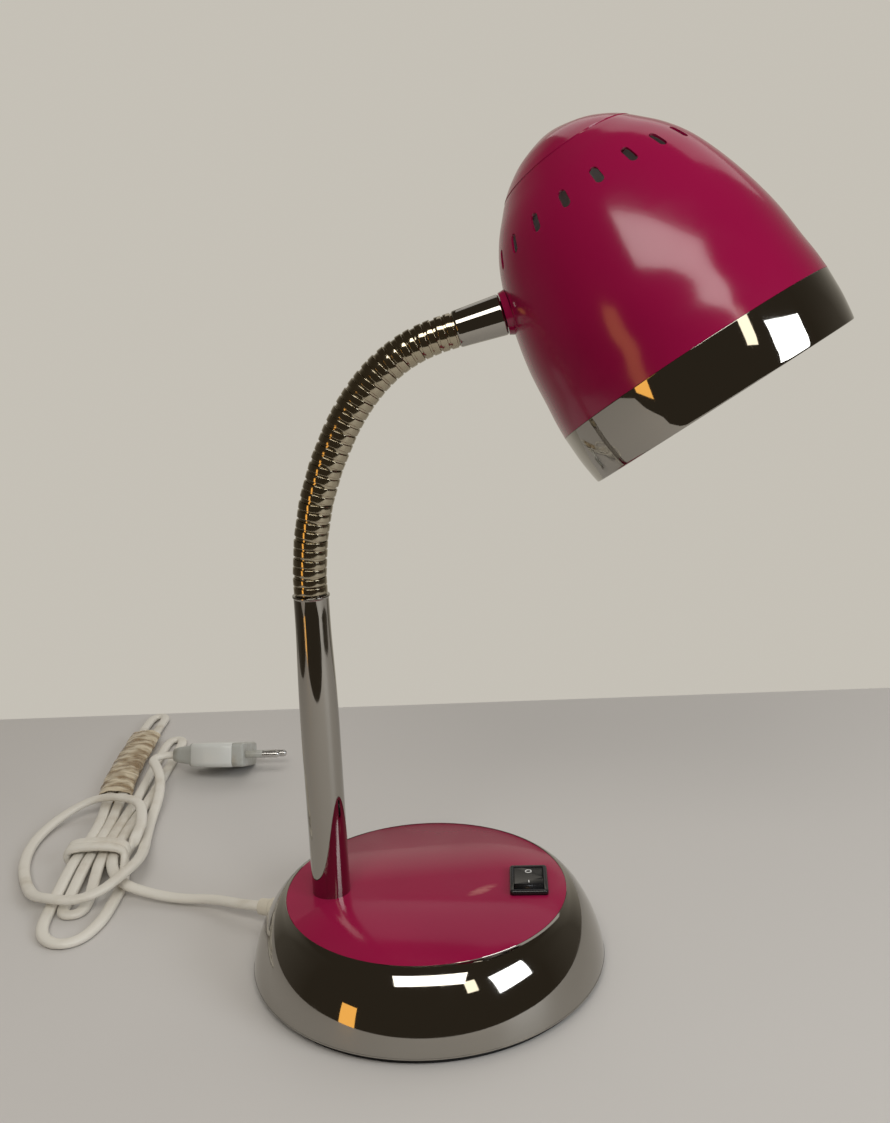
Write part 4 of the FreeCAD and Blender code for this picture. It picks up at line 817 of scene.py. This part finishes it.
def prism_rows(name, rows, place, rounds=6):
    """A rounded box along X from rows of (x, width, height, corner radius)."""
    points, faces = [], []
    ring = 4 * (rounds + 1)
    for x, wide, high, corner in rows:
        for cy, cz, start in ((1, 1, 0), (-1, 1, 90), (-1, -1, 180), (1, -1, 270)):
            points += [(x, cy * (wide / 2 - corner) + y, cz * (high / 2 - corner) + z)
                       for y, z in arc(corner, start, start + 90, rounds)]
    for row in range(len(rows) - 1):
        for k in range(ring):
            a, b = row * ring + k, row * ring + (k + 1) % ring
            faces.append((a, b, b + ring, a + ring))
    faces += [tuple(range(ring)), tuple(range(len(points) - ring, len(points)))]
    return smooth(to_mesh(name, points, faces, place))


def make_plug():
    """White moulded middle with cloudy grey ends, and two round pins with sleeved roots."""
    lap = GRIP_LENGTH + NOSE_START
    front = GRIP_LENGTH + SHELL_LENGTH
    grip = prism_rows("plug_grip", [
        (-0.6, 7.0, 6.4, 2.0), (0, 8.4, 7.2, 2.4), (4, 13.5, 9.2, 2.8), (GRIP_LENGTH - 1.2, 18.4, 10.8, 3.0),
        (GRIP_LENGTH - 1, 22.4, 12.2, 3.2), (GRIP_LENGTH, 23.4, 12.8, 3.2)], PLUG)
    shell = prism_rows("plug_shell", [
        (GRIP_LENGTH, 23.0, 12.4, 3.0), (GRIP_LENGTH + 1, 25.0, 13.0, 3.2),
        (GRIP_LENGTH + 9, 30.5, 13.4, 3.2), (GRIP_LENGTH + 17, 33.4, 13.6, 3.0),
        (lap - 0.6, 33.8, 13.6, 3.0), (lap, 33.2, 13.2, 3.0)], PLUG)
    nose = prism_rows("plug_nose", [
        (lap, 32.8, 12.6, 2.8), (lap + 0.6, 33.4, 13.2, 2.9), (front - 0.8, 33.4, 13.2, 2.9),
        (front, 31.6, 11.8, 2.5)], PLUG)
    made = [add_piece("plug_grip", grip, "base", [PLUG_CLOUDY]),
            add_piece("plug_shell", shell, "base", [PLUG_WHITE], ["plug_body"]),
            add_piece("plug_nose", nose, "base", [PLUG_CLOUDY])]
    across = about("Y", 90)
    for name, side in (("near", -1), ("far", 1)):
        place = PLUG @ shift(0, side * PIN_SPREAD / 2, 0) @ across
        tip = front + PIN_LENGTH
        bare = front + SLEEVE_LENGTH
        pin = eased([(0, front - 6, 0), (PIN_R - 0.05, front - 6, 0), (PIN_R - 0.05, tip - 1.2, 0.8),
                     (1.1, tip, 0.5), (0, tip, 0)])
        sleeve = eased([(0.2, front - 5, 0), (PIN_R, front - 5, 0), (PIN_R, bare, 0.1), (0.2, bare, 0)])
        made.append(add_piece("pin_" + name, spun("pin_" + name, pin, place, 40), "base", [PIN_METAL],
                              ["plug_pins"] if side > 0 else ()))
        made.append(add_piece("pin_sleeve_" + name, spun("pin_sleeve_" + name, sleeve, place, 40), "base",
                              [PLUG_CLOUDY]))
    return made


def make_sleeve():
    """Loose creased film round two strands of the hank."""
    line = curve_through(FILM_STATIONS, 24)
    points, faces = [], []
    around = 64
    for index, (x, y) in enumerate(line):
        for k in range(around):
            angle = 2 * math.pi * k / around
            crease = (0.35 * math.sin(5 * angle + y * 0.21) + 0.3 * math.sin(9 * angle - y * 0.34)
                      + 0.25 * math.sin(y * 0.9 + 3 * math.sin(angle * 2)))
            wide, high = FILM_HALF_WIDTH + 0.5 * crease, FILM_HALF_HEIGHT + 0.35 * crease
            points.append((x + wide * math.cos(angle), y + 0.6 * math.sin(4 * angle + index),
                           max(0.2, 4.0 + high * math.sin(angle))))
    for index in range(len(line) - 1):
        for k in range(around):
            a, b = index * around + k, index * around + (k + 1) % around
            faces.append((a, b, b + around, a + around))
    thick = walled("film_sleeve", to_mesh("film_sheet", points, faces), FILM_WALL)
    return add_piece("film_sleeve", smooth(thick, 50), "base", [FILM], ["cord_sleeve"])


def make_bush():
    """The ivory nipple where the flex leaves the ring."""
    place = shift(0, 0, BUSH_Z) @ about("Z", BUSH_TURN) @ about("Y", 90)
    outline = eased([
        (BUSH_BORE, BASE_R - 3, 0), (3.6, BASE_R - 3, 0.2), (3.6, BASE_R - 0.5, 0), (4.4, BASE_R - 0.3, 0.5),
        (4.4, BASE_R + 2.2, 0.7), (3.7, BASE_R + 2.8, 0.3), (3.4, BASE_R + BUSH_REACH - 0.4, 0.5),
        (2.8, BASE_R + BUSH_REACH, 0.2)])
    return add_piece("cord_nipple", spun("cord_nipple", outline, place, 48), "base", [IVORY], ["cord_bush"])


FLOOR_CORNERS = [(-0.46, -0.36, 0), (0.46, -0.36, 0), (0.46, 0.285, 0), (-0.46, 0.300, 0)]
LAMP_TARGET = Vector((0.03, 0, 0.15))
# Each lamp's name, place, size, power and colour; the last two only show in reflections
LAMPS = [("window", (0.98, -0.62, 0.62), (0.55, 0.42), 5.0, (0.90, 0.95, 1.0)),
         ("skylight", (0.02, -0.86, 1.02), (0.95, 0.42), 6.5, (1.0, 0.97, 0.91)),
         ("behind", (0.4, 1.1, 1.5), (1.6, 1.0), 3.0, (1.0, 0.98, 0.95)),
         ("doorway", (0.56, -1.00, 0.76), (0.16, 0.30), 0.45, (1.0, 0.93, 0.76)),
         ("ember", (-1.53, -1.32, 0.02), (0.36, 0.86), 2.1, (1.0, 0.50, 0.10))]


def make_floor():
    floor = bpy.data.objects.new("floor", bpy.data.meshes.new("floor"))
    floor.data.from_pydata(FLOOR_CORNERS, [], [(0, 1, 2, 3)])
    bpy.context.scene.collection.objects.link(floor)
    floor.data.materials.append(Finish("pale_floor", (0.62, 0.60, 0.58), 0.55).material)


def make_lamps():
    for name, spot, (wide, tall), power, colour in LAMPS:
        light = bpy.data.lights.new(name, "AREA")
        light.energy = power
        light.shape = "RECTANGLE"
        light.size = wide
        light.size_y = tall
        light.color = colour
        item = bpy.data.objects.new(name, light)
        item.location = spot
        item.rotation_euler = (LAMP_TARGET - Vector(spot)).to_track_quat("-Z", "Y").to_euler()
        item.visible_diffuse = name not in ("doorway", "ember")
        bpy.context.scene.collection.objects.link(item)


def make_room():
    """The room's light: soft on matt surfaces, dimmer with a pale far wall in the metal, and pale behind."""
    world = bpy.data.worlds.new("room")
    bpy.context.scene.world = world
    world.use_nodes = True
    tree = world.node_tree

    def run(value, first, last, start=0.0):
        """A value that goes from start to 1 while another runs from first to last."""
        links = {"Value": value, "From Min": first, "From Max": last, "To Min": start}
        return add_node(tree, "ShaderNodeMapRange", links).outputs[0]

    def blend(share, first, second):
        links = {"Factor": share, COLOUR_A: first, COLOUR_B: second}
        return add_node(tree, "ShaderNodeMix", links, data_type="RGBA").outputs[COLOUR_OUT]

    def product(first, second):
        return add_node(tree, "ShaderNodeMath", {0: first, 1: second}, operation="MULTIPLY").outputs[0]

    facing = add_node(tree, "ShaderNodeTexCoord", {}).outputs["Generated"]
    parts = add_node(tree, "ShaderNodeSeparateXYZ", {0: facing}).outputs
    behind = run(parts["Y"], -0.15, 0.45)
    above = run(parts["Z"], 0.25, 0.95)
    wall = blend(behind, (0.055, 0.045, 0.036, 1), (0.52, 0.49, 0.44, 1))
    soft = blend(above, wall, (0.42, 0.40, 0.37, 1))
    low = run(parts["Z"], 0.68, 0.30)
    aside = add_node(tree, "ShaderNodeMath", {0: parts["X"]}, operation="ABSOLUTE").outputs[0]
    ahead = run(aside, 0.85, 0.35, start=0.12)
    pale = product(product(behind, low), ahead)
    dim = blend(pale, (0.050, 0.040, 0.028, 1), (0.46, 0.43, 0.37, 1))
    path = add_node(tree, "ShaderNodeLightPath", {}).outputs
    shiny = blend(path["Is Glossy Ray"], soft, dim)
    seen = blend(path["Is Camera Ray"], shiny, (0.56, 0.53, 0.47, 1))
    tree.links.new(seen, tree.nodes["Background"].inputs["Color"])


def make_camera():
    """The camera that the photograph's perspective gives."""
    data = bpy.data.cameras.new("camera")
    data.lens = 36.02
    data.sensor_width = 36.0
    data.clip_start = 0.01
    item = bpy.data.objects.new("camera", data)
    right = Vector((0.999122, -0.006098, -0.041447))
    up = Vector((0.041766, 0.222071, 0.974136))
    back = -Vector((-0.003263, 0.975011, -0.222131))
    turn = Matrix((right, up, back)).transposed().to_4x4()
    item.matrix_world = Matrix.Translation(Vector((14.26, -408.11, 255.50)) * MM) @ turn
    bpy.context.scene.collection.objects.link(item)
    bpy.context.scene.camera = item


make_camera()
cord, cord_path, cord_exit = make_cord()
plug_pieces = make_plug()
film = make_sleeve()
make_bush()
make_base()
make_post()
make_neck()
make_joint()
make_bell()
make_crown_and_band()
make_lamp()
make_switch()
make_floor()
make_lamps()
make_room()
bpy.context.scene.view_settings.view_transform = "Standard"
